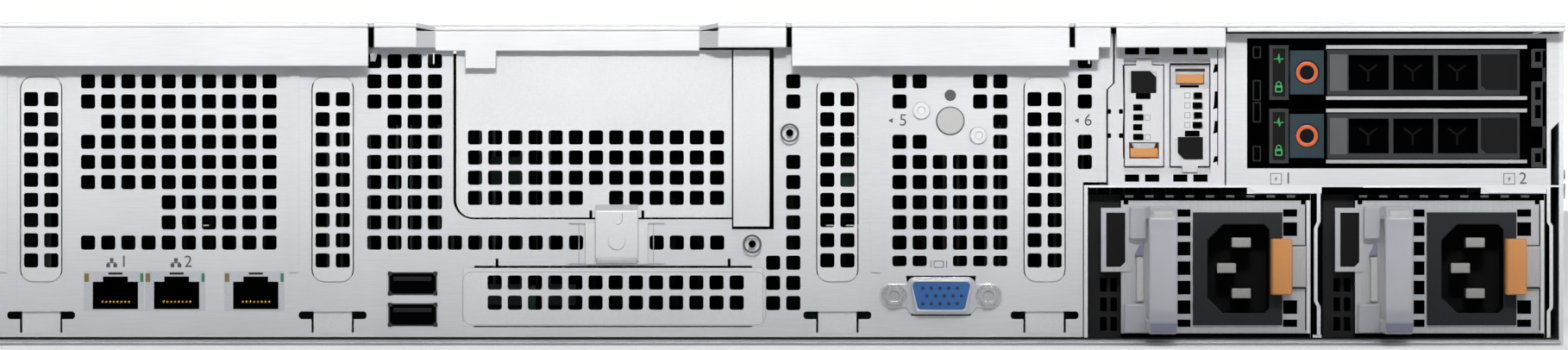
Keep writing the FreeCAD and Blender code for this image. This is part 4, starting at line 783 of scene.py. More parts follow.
def small_openings(node: str, longest: float = 4.3, shortest: float = 2.4) -> list[Room]:
    """Finds a sheet's small square-cornered openings by the rings of their walls.

    Args:
        node: the CAD node.
        longest: the longest side that an opening may have.
        shortest: the shortest.

    Returns:
        Each opening's box.
    """
    mesh = frame["nodes"][node].data
    keys = [tuple(round(c / MM, 3) for c in vertex.co) for vertex in mesh.vertices]
    group: dict[tuple, tuple] = {}

    def root(key: tuple) -> tuple:
        """The key that stands for a key's whole ring.

        Args:
            key: a point of the ring.

        Returns:
            The ring's own key.
        """
        while group.setdefault(key, key) != key:
            group[key] = group[group[key]]
            key = group[key]
        return key

    for face in mesh.polygons:
        if abs(face.normal.y) < 0.5:
            first = root(keys[face.vertices[0]])
            for index in face.vertices[1:]:
                group[root(keys[index])] = first
    rings: dict[tuple, list[tuple]] = {}
    for key in list(group):
        rings.setdefault(root(key), []).append(key)
    found = []
    for points in rings.values():
        xs, ys, zs = zip(*points)
        wide, high = max(xs) - min(xs), max(zs) - min(zs)
        square = len({(x, z) for x, _, z in points}) == 4
        if square and shortest < min(wide, high) and max(wide, high) < longest:
            found.append(Room(min(xs), max(xs), min(ys), max(ys), min(zs), max(zs)))
    return sorted(found, key=lambda room: (room.x0, room.z0))


@dataclass
class VentCorners:
    """The rounded corners of punched vents: one corner is modelled, then set four to a vent."""

    radius: float = 0.72

    def corner(self, deep: float) -> Piece:
        """One corner: the sheet left between a square corner and the punch's round.

        Args:
            deep: how thick the sheet is.

        Returns:
            The new object.
        """
        radius = self.radius
        blank = block("corner", Room(0, radius * 0.998, 0, deep, 0, radius * 0.998))
        punch = round_bar("punch", radius, -1, radius, radius, deep + 2, "Y", 24)
        return carve(blank, punch)

    def build(self, name: str, openings: list[Room]) -> Piece:
        """Sets corners into openings of one depth.

        Args:
            name: the piece's name.
            openings: the vents.

        Returns:
            All the corners as one piece.
        """
        first = openings[0]
        seed = self.corner(first.y1 - first.y0)
        parts = []
        for room in openings:
            for x, z, turn in ((room.x0, room.z0, 0), (room.x0, room.z1, 90),
                               (room.x1, room.z1, 180), (room.x1, room.z0, 270)):
                parts.append(copy_of(seed, x, room.y0, z, turn))
        bpy.data.objects.remove(seed)
        return join(name, parts)


# ---- the machine


@dataclass
class CaseShell:
    """The tray, the sliding cover with its lips, and what is under the cover's edge."""

    slit_x: tuple[float, ...] = (-103.9, 8.4, 84.5)
    slit_w: float = 3.0
    hem: float = 0.72

    def build(self) -> None:
        """Models and dresses the case."""
        clad("cover_sheet", 0.25, "top_cover", "cover", Paint.CASE)
        clad("cover_edge", 0.25, "cover_lips", "cover", Paint.CASE)
        self.shade_strips()
        clad("cover_handle", 0.5, "cover_latch", "cover_lever", Paint.TEAL)
        dress(Paint.CASE, "base_tray")
        dress(Paint.SCREW, "rail_studs")
        self.bottom_hem()

    def shade_strips(self) -> None:
        """Black painted shade in the cover's slits, each with the hook of the wall below it."""
        wall_y, edge = wall_face(), Room.of("top_cover")
        strips = [block("strip", Room(x - self.slit_w / 2, x + self.slit_w / 2, edge.y0 + 2.2, wall_y - 0.4,
                                      edge.z1 - 6.4, edge.z1 - 1.3)) for x in self.slit_x]
        # The black strips are painted shade: the slits lie in shadow.
        shade_strip = soften(join("cover_shade_strips", strips), 0.3)
        fit(shade_strip, "cover", Paint.PITCH)
        x, z = self.slit_x[0] + 0.8, edge.z1 - 8.5
        hook = soften(cutout("cover_hook", [[(x - 1.2, z - 1.8), (x + 0.2, z - 1.8), (x + 1.2, z + 2.0),
                                             (x - 1.2, z + 2.0)]], wall_y - 0.9, 0.8), 0.15)
        fit(hook, "chassis", Paint.SCREW)

    def bottom_hem(self) -> None:
        """The rolled edge along the foot of the rear wall, in darker supply steel as painted shade, with a
        painted shadow in the gap above it.
        """
        tray, wall_y = Room.of("base_tray"), wall_face()
        roll = round_bar("case_hem", tray.x0 + self.hem, wall_y + self.hem * 0.4, self.hem + 0.02, self.hem,
                         tray.x1 - tray.x0 - self.hem * 2, "X", 16)
        # The hem takes the darker supply steel: painted shade along the foot of the wall.
        fit(soften(roll, self.hem * 0.5, 2, 60), "chassis", Paint.SUPPLY)
        # A thin dark strip paints the shadow in the gap between the wall and the hem.
        joint = cutout("hem_gap_shadow", [[(tray.x0 + 1.2, 1.55), (tray.x1 - 1.2, 1.55), (tray.x1 - 1.2, 2.15),
                                      (tray.x0 + 1.2, 2.15)]], wall_y - 0.02, 0.04)
        fit(joint, "chassis", Paint.EPOXY)


@dataclass
class RearWall:
    """The punched rear wall with its vents, screws and printed legends."""

    mark_high: float = 3.1
    digits: tuple[tuple[str, float, float], ...] = (
        ("1", -170.6, 22.5), ("2", -153.3, 22.5), ("5", 39.2, 60.6), ("6", 89.0, 60.6),
        ("1", 142.9, 44.9), ("2", 206.1, 44.9))
    arrow_at: tuple[Point, ...] = ((35.8, 60.6), (85.9, 60.6))
    network_at: tuple[Point, ...] = ((-173.9, 22.2), (-156.6, 22.2))
    power_at: tuple[Point, ...] = ((139.6, 44.9), (202.4, 44.9))
    monitor_at: Point = (48.8, 21.9)
    info_at: Point = (51.9, 67.4)
    info_r: float = 1.55
    boss_at: tuple[Point, ...] = ((8.66, 57.3), (-1.44, 27.36))
    groove_r: Point = (2.55, 2.0)
    bore_r: float = 0.98
    rivet_at: tuple[Point, ...] = ((44.15, 63.3), (59.27, 56.6))
    rivet_r: Point = (2.35, 2.2)
    face: float = field(init=False)

    def build(self) -> None:
        """Models and dresses the wall."""
        self.face = wall_face()
        dress(Paint.WALL, "rear_panel")
        corners = VentCorners().build("wall_vent_corners", small_openings("rear_panel"))
        fit(corners, "chassis", Paint.WALL)
        clad("wall_screws", 0.15, "panel_screws", "chassis", Paint.BLANK)
        self.bosses()
        self.legends()

    def bosses(self) -> None:
        """Painted shade in the turned grooves and bores of the two standoffs, and painted shadow round the
        rims of two pressed rivets.
        """
        top = Room.of("panel_screws").y0
        # The grooves are grey rings of painted shade, the bores black discs of painted shade.
        grooves = [cutout("groove", [ring(x, z, radius) for radius in self.groove_r], top - 0.03, INLAY)
                   for x, z in self.boss_at]
        assemble("standoff_grooves", grooves, "chassis", Paint.INK)
        bores = [cutout("bore", [ring(x, z, self.bore_r)], top - 0.02, PRINT) for x, z in self.boss_at]
        assemble("standoff_bores", bores, "chassis", Paint.PITCH)
        # The rivet rims are grey rings of painted shadow.
        rims = [cutout("rim", [ring(x, z, radius) for radius in self.rivet_r], self.face - 0.65, INLAY)
                for x, z in self.rivet_at]
        assemble("rivet_rims", rims, "chassis", Paint.CREASE)

    def legends(self) -> None:
        """Numbers, arrows and plain symbols, printed on the wall."""
        y = self.face - 0.03
        parts = [lettering("mark", text, x, z, y, self.mark_high) for text, x, z in self.digits]
        parts += [cutout("arrow", [[(x + 0.6, z - 0.7), (x + 0.6, z + 0.7), (x - 0.6, z)]], y, PRINT)
                  for x, z in self.arrow_at]
        for x, z in self.network_at:
            parts += self.network_mark(x, z, y)
        for x, z in self.power_at:
            parts += self.power_mark(x, z, y)
        parts += self.monitor_mark(*self.monitor_at, y)
        assemble("wall_legends", parts, "chassis", Paint.INK)
        x, z = self.info_at
        badge = carve(cutout("info_mark", [ring(x, z, self.info_r)], y, PRINT),
                      lettering("letter", "i", x + 0.05, z, y - 0.1, 2.1))
        fit(badge, "chassis", Paint.INK)

    def network_mark(self, x: float, z: float, y: float) -> list[Piece]:
        """Three small squares joined by a line, for a network socket.

        Args:
            x, z: its middle.
            y: the plane that it is printed on.

        Returns:
            Its parts.
        """
        spots = ((0, 0.85), (-0.95, -0.65), (0.95, -0.65))
        parts = [cutout("node", [rounded(x + dx - 0.5, x + dx + 0.5, z + dz - 0.5, z + dz + 0.5, 0.1)],
                        y, PRINT) for dx, dz in spots]
        bars = ((-1.2, 1.2, -0.05, 0.2), (-0.13, 0.13, 0.0, 0.5), (-1.1, -0.84, -0.5, 0.0),
                (0.84, 1.1, -0.5, 0.0))
        return parts + [cutout("line", [[(x + a, z + c), (x + b, z + c), (x + b, z + d), (x + a, z + d)]],
                               y, PRINT) for a, b, c, d in bars]

    def power_mark(self, x: float, z: float, y: float) -> list[Piece]:
        """A square frame with a small bolt in it, for a supply.

        Args:
            x, z: its middle.
            y: the plane that it is printed on.

        Returns:
            Its parts.
        """
        frame_loops = [rounded(x - 1.55, x + 1.55, z - 1.55, z + 1.55, 0.2),
                       rounded(x - 1.35, x + 1.35, z - 1.35, z + 1.35, 0.15)]
        bolt = [(0.25, 0.9), (-0.45, -0.1), (-0.05, -0.1), (-0.25, -0.9), (0.45, 0.15), (0.05, 0.15)]
        return [cutout("frame", frame_loops, y, PRINT),
                cutout("bolt", [[(x + dx, z + dz) for dx, dz in bolt]], y, PRINT)]

    def monitor_mark(self, x: float, z: float, y: float) -> list[Piece]:
        """A small screen between two bars, for the display socket.

        Args:
            x, z: its middle.
            y: the plane that it is printed on.

        Returns:
            Its parts.
        """
        screen = [rounded(x - 1.35, x + 1.35, z - 0.95, z + 0.95, 0.3),
                  rounded(x - 1.15, x + 1.15, z - 0.75, z + 0.75, 0.25)]
        bars = [cutout("bar", [rounded(x + dx - 0.1, x + dx + 0.1, z - 0.95, z + 0.95, 0.05)], y, PRINT)
                for dx in (-2.1, 2.1)]
        return [cutout("screen", screen, y, PRINT)] + bars


@dataclass
class Blanks:
    """The slot fillers, the riser blank with its clamp, and the port filler."""

    screw_r: float = 1.86
    screw_at: Point = (-38.1, 28.05)
    score: float = 0.22
    pad_x: tuple[Point, ...] = ((-50.9, -44.0), (-31.9, -25.0))
    pad_z: Point = (32.9, 22.0)
    cross_arm: float = 1.0
    cross_bar: float = 0.22

    def build(self) -> None:
        """Models and dresses the blanking sheets."""
        for node, name in (("slot_fillers", "filler_vent_corners"), ("riser_blank", "riser_vent_corners"),
                           ("port_filler", "port_vent_corners")):
            dress(Paint.BLANK, node)
            corners = VentCorners().build(name, small_openings(node))
            fit(corners, "chassis", Paint.BLANK)
        clad("riser_clamp_plate", 0.25, "riser_clamp", "chassis", Paint.BLANK)
        self.clamp_details()
        self.port_rim()

    def clamp_details(self) -> None:
        """Painted shadow along the clamp's pressed stiffener and the edges of its pad, its screw, and its
        curled lip in darker steel as painted shade.
        """
        plate, (x, z), wall_y = Room.of("riser_clamp"), self.screw_at, wall_face()
        y = plate.y0
        route = [(x + 0.1 - 1.6 * math.cos(math.pi * k / 8), z + 5.9 - 1.4 * math.sin(math.pi * k / 8))
                 for k in range(4, 9)]
        route.append((route[-1][0], plate.z1 - 2.4))
        # The stiffener and the pad's edges are grey lines of painted shadow.
        lines = [cutout("stiffener", [ribbon(route, self.score)], y - 0.02, PRINT)]
        for side_x in (plate.x0 - 1.6, plate.x1 + 1.4):
            side = [(side_x, plate.z0 + 0.1), (side_x, self.pad_z[0])]
            lines.append(cutout("edge", [ribbon(side, self.score)], wall_y - 0.02, PRINT))
        for high in self.pad_z:
            for start, end in self.pad_x:
                lines.append(cutout("edge", [ribbon([(start, high), (end, high)], self.score)],
                                    wall_y - 0.45, 0.4))
        assemble("clamp_shadow_lines", lines, "chassis", Paint.CREASE)
        arm, bar = self.cross_arm, self.cross_bar
        cross = [(x + a, z + b) for a, b in (
            (-arm, -bar), (-bar, -bar), (-bar, -arm), (bar, -arm), (bar, -bar), (arm, -bar),
            (arm, bar), (bar, bar), (bar, arm), (-bar, arm), (-bar, bar), (-arm, bar))]
        head = cutout("clamp_screw", [ring(x, z, self.screw_r, 28), cross], y - 0.35, 0.4)
        fit(soften(head, 0.12, 2, 50), "chassis", Paint.BLANK)
        # The curled lower lip takes the darker supply steel: painted shade under the bend.
        lip = Room(plate.x0 + 3.0, plate.x1 - 3.0, y - 0.25, y + 0.5, plate.z0 + 0.2, plate.z0 + 1.9)
        fit(soften(block("clamp_lip", lip), 0.35, 3), "chassis", Paint.SUPPLY)

    def port_rim(self) -> None:
        """Painted shadow of the faint pressed outline round the port filler."""
        room = Room.of("port_filler")
        loops = [rounded(room.x0 - 0.3, room.x1 + 0.9, room.z0 + 0.2, room.z1 - 1.0, 2.6),
                 rounded(room.x0 - 0.15, room.x1 + 0.75, room.z0 + 0.35, room.z1 - 1.15, 2.45)]
        # The outline is a thin grey ring of painted shadow.
        fit(cutout("port_rim", loops, room.y0 - 0.02, PRINT), "chassis", Paint.CREASE)


@dataclass
class SocketRow:
    """Network, serial and bus sockets: tinned shells with black painted shade inside, contacts and lamps.
    """

    mouths: tuple[float, ...] = (-179.0, -162.5, -141.2)
    mouth_w: float = 12.2
    mouth_h: float = 7.4
    mouth_low: float = 9.8
    key_w: float = 6.7
    key_h: float = 1.4
    deep: float = 12.5
    pins: int = 8
    pin_step: float = 1.02
    bus_x: float = -99.0
    bus_w: float = 12.3
    bus_h: float = 5.4
    bus_low: tuple[float, ...] = (14.0, 5.6)
    face: float = field(init=False)

    def build(self) -> None:
        """Models and dresses the sockets."""
        self.face = wall_face()
        shells = clad("socket_shells", 0, "io_ports", "chassis", Paint.SHELL)
        # Every face deeper than the shell's mouth is painted black: painted shade inside the sockets.
        darken(shells, lambda at, way: at.y > self.face + 0.4)
        self.network_sockets()
        self.bus_sockets()

    def network_sockets(self) -> None:
        """Three keyed mouths, each with a row of contacts and a lamp at each upper corner."""
        y = self.face
        backs, pins, green, amber, keys = [], [], [], [], []
        for x in self.mouths:
            low, high = self.mouth_low, self.mouth_low + self.mouth_h
            middle = x + self.mouth_w / 2
            mouth = [(x, low), (x + self.mouth_w, low), (x + self.mouth_w, high),
                     (middle + self.key_w / 2, high), (middle + self.key_w / 2, high + self.key_h),
                     (middle - self.key_w / 2, high + self.key_h),
                     (middle - self.key_w / 2, high), (x, high)]
            backs.append(cutout("back", [mouth], y + self.deep - 2.5, 0.4))
            for k in range(self.pins):
                px = middle + self.pin_step * (k - (self.pins - 1) / 2)
                pins.append(block("pin", Room(px - 0.25, px + 0.25, y + 1.6, y + 9.5,
                                              low + 1.7, low + 2.2)))
            green.append(block("lamp", Room(x + self.mouth_w + 0.55, x + self.mouth_w + 1.45,
                                            y - 0.1, y + 0.6, high - 0.1, high + 2.3)))
            amber.append(block("lamp", Room(x - 2.3, x - 1.0, y - 0.1, y + 0.6, high - 0.1, high + 2.3)))
            keys.append(block("key", Room(middle - 1.9, middle + 1.9, y - 0.1, y + 1.2,
                                          high + self.key_h + 0.5, high + self.key_h + 1.1)))
        # The black backs of the mouths are painted shade.
        assemble("socket_backs", backs, "chassis", Paint.PITCH)
        assemble("socket_contacts", pins, "chassis", Paint.GOLD, 0.05)
        assemble("socket_lamps_green", green, "chassis", Paint.GREEN_OFF, 0.15)
        assemble("socket_lamps_amber", amber, "chassis", Paint.AMBER_OFF, 0.15)
        assemble("socket_latch_slots", keys, "chassis", Paint.SLATE, 0.1)

    def bus_sockets(self) -> None:
        """Two flat bus sockets: a thin shell with folded corners, a throat painted black as shade, and a
        tongue.
        """
        y = self.face
        shells, throats, tongues = [], [], []
        for low in self.bus_low:
            x, right, high = self.bus_x, self.bus_x + self.bus_w, low + self.bus_h
            shells.append(cutout("shell", [rounded(x - 0.35, right + 0.35, low - 0.35, high + 0.35, 0.3),
                                           rounded(x, right, low, high, 0.2)], y - 0.25, 0.3))
            for corner_x, corner_z in ((x, low), (right, low), (right, high), (x, high)):
                shells.append(cutout("fold", [rounded(corner_x - 0.55, corner_x + 0.55, corner_z - 0.55,
                                                      corner_z + 0.55, 0.2)], y - 0.3, 0.3))
            # Each throat is a thin black plate: painted shade in the socket's mouth.
            throats.append(cutout("throat", [rounded(x, right, low, high, 0.2)], y - 0.15, 0.1))
            tongues.append(block("tongue", Room(x + 0.95, right - 1.1, y - 0.6, y, high - 2.0,
                                                high - 0.85)))
        assemble("bus_shells", shells, "chassis", Paint.GRAPHITE, 0.06)
        assemble("bus_throats", throats, "chassis", Paint.PITCH)
        assemble("bus_tongues", tongues, "chassis", Paint.EPOXY, 0.15)


@dataclass
class DisplaySocket:
    """A fifteen-way display socket: shell, flange, blue insert and two jack nuts."""

    shell_w: float = 16.6
    shell_h: float = 8.6
    slant: float = 1.3
    nut_r: float = 2.75
    nut_x: float = 12.7
    bore_r: float = 1.45
    step: float = 2.32
    row_step: float = 2.08

    def build(self) -> None:
        """Models and dresses the socket."""
        port = Room.of("vga_port")
        x, _, z = port.centre
        face = wall_face()
        x += 0.05
        flange = [cutout("flange", [rounded(x - 9.3, x + 9.3, port.z0 + 0.1, port.z1 - 0.1, 2.2)],
                         face - 0.7, 0.8)]
        for side in (-1, 1):
            flange.append(cutout("ear", [rounded(*sorted((x + side * 7.5, x + side * 16.4)), z - 3.2,
                                                 z + 3.2, 2.6)], face - 0.6, 0.7))
        plate = soften(join("display_flange", flange), 0.25)
        fit(plate, "chassis", Paint.SHELL)
        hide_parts("vga_port")
        outer, inner = self.dee(x, z, 0), self.dee(x, z, 0.55)
        shell = soften(cutout("display_shell", [outer, inner], port.y0 + 0.1, 4.6), 0.15)
        fit(shell, "chassis", Paint.SHELL)
        insert = soften(cutout("display_insert", [self.dee(x, z, 0.5)], port.y0 + 0.45, 4.0), 0.12)
        fit(insert, "chassis", Paint.BLUE)
        spots = [(x + self.step * (k - 2) + shift, z + row * self.row_step)
                 for row, shift in ((1, -0.35), (0, 0.8), (-1, -0.35)) for k in range(5)]
        # The contact holes are flat discs of darker blue: painted shade in the wells.
        holes = [cutout("hole", [ring(px, pz, 0.52, 12)], port.y0 + 0.42, PRINT) for px, pz in spots]
        assemble("display_contacts", holes, "chassis", Paint.NAVY)
        self.nuts(x, z, port.y0)

    def dee(self, x: float, z: float, inset: float) -> list[Point]:
        """The socket's outline: wider above than below, with rounded corners.

        Args:
            x, z: its middle.
            inset: how far it lies inside the shell.

        Returns:
            The outline.
        """
        half, high, slant = self.shell_w / 2 - inset, self.shell_h / 2 - inset, self.slant
        points = []
        for corner_x, corner_z, start in ((half - 1, high - 1, 0), (-half + 1, high - 1, 90),
                                          (-half + slant + 1, -high + 1, 180),
                                          (half - slant - 1, -high + 1, 270)):
            for step in range(5):
                angle = math.radians(start + 90 * step / 4)
                points.append((x + corner_x + math.cos(angle), z + corner_z + math.sin(angle)))
        return points

    def nuts(self, x: float, z: float, y: float) -> None:
        """Two threaded hexagon nuts that hold the flange.

        Args:
            x, z: the socket's middle.
            y: the socket's front.
        """
        nuts, bores = [], []
        for middle in (x - self.nut_x, x + self.nut_x):
            bore = ring(middle, z, self.bore_r, 20)
            nuts.append(cutout("nut", [ring(middle, z, self.nut_r, 6), bore], y + 0.4, 4.0))
            nuts.append(cutout("washer", [ring(middle, z, 3.35, 36), ring(middle, z, 2.3, 20)],
                               wall_face() - 1.0, 0.5))
            bores.append(cutout("thread", [bore], y + 1.2, 0.3))
        assemble("jack_nuts", nuts, "chassis", Paint.SCREW, 0.3)
        assemble("jack_bores", bores, "chassis", Paint.SUPPLY)


@dataclass
class Indicator:
    """The round identification button in its hole."""

    ring_r: float = 3.9
    ring_w: float = 0.32

    def build(self) -> None:
        """Models and dresses the button."""
        clad("id_button_cap", 0.3, "id_button", "id_push", Paint.FROST, segments=3)
        x, _, z = Room.of("id_button").centre
        rim = [ring(x, z, self.ring_r), ring(x, z, self.ring_r - self.ring_w)]
        fit(cutout("id_button_rim", rim, wall_face() - 0.04, INLAY), "chassis", Paint.INK)


@dataclass(frozen=True)
class BootFace:
    """Where the parts of a boot carrier's face lie, from the carrier's lower left corner."""

    rise: float
    label: Point
    slot: Point
    socket_x: float
    socket_w: float
    frame: Point
    first_row: float
    shift: float
    turned: bool
    band: Loop


@dataclass
class BootModule:
    """The housing of the two boot carriers, and what each carrier's face holds."""

    label_w: float = 6.8
    label_h: float = 6.0
    corner: float = 1.7
    rows: int = 4
    row_step: float = 2.65
    jog: float = 0.4
    faces: tuple[BootFace, ...] = (
        BootFace(rise=0.0, label=(1.7, 19.7), slot=(3.0, 18.1), socket_x=2.3, socket_w=2.8,
                 frame=(5.4, 6.95), first_row=7.0, shift=0.0, turned=False,
                 band=((1.9, 6.2), (8.4, 6.2), (7.8, 4.8), (2.6, 4.8))),
        BootFace(rise=2.0, label=(1.9, 1.6), slot=(3.8, 7.7), socket_x=5.9, socket_w=2.5, frame=(3.7, 5.3),
                 first_row=10.0, shift=0.4, turned=True,
                 band=((0.2, 20.6), (10.3, 20.6), (10.3, 25.2), (9.05, 25.2), (9.05, 21.7), (1.45, 21.7),
                       (1.45, 25.2), (0.2, 25.2))))
    tick_z: Point = (62.4, 55.9)
    catches: tuple[Point, ...] = ((49.2, 51.0), (63.6, 68.5), (57.0, 60.5), (73.4, 75.8))
    joints: tuple[tuple[Loop, float], ...] = (
        (((98.6, 50.4), (98.5, 58.0), (98.7, 64.0), (98.5, 75.6)), 0.35),
        (((111.1, 75.9), (121.9, 75.9)), 0.3), (((123.9, 48.6), (123.9, 79.8)), 0.25))

    def build(self) -> None:
        """Models and dresses the housing and both carriers."""
        face = wall_face()
        housing = clad("boot_module_case", 0, "boot_housing", "chassis", Paint.HOUSING)
        room = Room.of("boot_housing")
        # The housing's inner faces above and below the carriers are painted black: painted shade.
        vents = (room.z0 + 3.1, room.z1 - 5.6)
        darken(housing, lambda at, way: at.y > face + 0.1 and (at.z < vents[0] or at.z > vents[1])
               and room.x0 + 1 < at.x < room.x1 - 1)
        for number in (1, 2):
            self.carrier(number)
        self.edges(room, face)

    def carrier(self, number: int) -> None:
        """One carrier with its latch, label, sockets and bands. The second is the first turned over.

        Args:
            number: which carrier it is.
        """
        node, at = Room.of(f"boot_carrier_{number}"), self.faces[number - 1]
        body, sink, x, low = f"boot_drive_{number}", node.y0, node.x0, node.z0 + at.rise
        clad(f"boot_carrier_{number}_shell", 0.15, f"boot_carrier_{number}", body, Paint.WHITE,
             angle=60)
        clad(f"boot_latch_{number}_cap", 0.2, f"boot_latch_{number}", f"boot_catch_{number}", Paint.ORANGE)
        wide, high, cut = self.label_w, self.label_h, self.corner
        loop = [(0, 0), (wide, 0), (wide, high - cut), (wide - cut, high), (0, high)]
        dark, line = [], []
        band = cutout("band", [[(x + a, low + b) for a, b in at.band]], sink - 0.04, INLAY)
        if at.turned:
            loop = [(wide - a, high - b) for a, b in loop]
            lip = cutout(f"boot_lip_{number}", [rounded(x + 1.55, x + 8.95, low + 24.45, low + 25.2, 0.1)],
                         sink - 0.06, PRINT)
            fit(lip, f"boot_catch_{number}", Paint.SUPPLY)
            gap = rounded(x + 2.4, x + 7.6, low + 20.9, low + 21.6, 0.1)
            dark.append(cutout("gap", [gap], sink - 0.08, INLAY))
        label = [(x + at.label[0] + a, low + at.label[1] + b) for a, b in loop]
        plate = cutout(f"boot_label_{number}", [label], sink - 0.12, 0.14)
        fit(soften(plate, 0.03), body, Paint.PLATE)
        left, foot = x + at.slot[0], low + at.slot[1]
        dark.append(cutout("slot", [rounded(left, left + 4.0, foot, foot + 1.6, 0.15)], sink - 0.1, 0.1))
        for k in range(self.rows):
            z, jog = low + at.first_row + self.row_step * k, k % 2
            start = x + at.socket_x + at.shift * jog
            socket = rounded(start, start + at.socket_w - self.jog * jog, z, z + 1.65, 0.2)
            dark.append(cutout("socket", [socket], sink - 0.06, 0.08))
            if at.turned or not jog:
                left, right = x + at.frame[0], x + at.frame[1]
                line.append(cutout("frame", [rounded(left, right, z, z + 1.6, 0.15),
                                             rounded(left + 0.2, right - 0.2, z + 0.2, z + 1.4, 0.1)],
                                   sink - 0.04, INLAY))
        # The slot, sockets and gap are black: painted shade in the openings; the frames round the sockets
        # are painted shadow.
        assemble(f"boot_sockets_{number}", dark, body, Paint.PITCH)
        assemble(f"boot_frames_{number}", line, body, Paint.CREASE)
        assemble(f"boot_bands_{number}", [band], body, Paint.SUPPLY)

    def edges(self, room: Room, face: float) -> None:
        """Painted shadow in the joints, ticks and catches round the carriers.

        Args:
            room: the housing's box.
            face: the wall's outer face.
        """
        y = face - 0.02
        lines = [cutout("tick", [rounded(tick_x, tick_x + wide, low, low + 1.3, 0.3)], y, PRINT)
                 for tick_x, wide in ((room.x0 - 0.2, 1.0), (room.x0 + 2.9, 1.1)) for low in self.tick_z]
        lines += [cutout("joint", [ribbon(route, wide)], y, PRINT) for route, wide in self.joints]
        lines += [cutout("catch", [[(122.6, low), (123.9, low + 0.4), (123.9, high), (123.1, high),
                                    (122.9, low + 1.2)]], y, PRINT) for low, high in self.catches]
        # The black lines and ticks are painted shadow in the gaps between housing and carriers.
        assemble("boot_joints", lines, "chassis", Paint.PITCH)


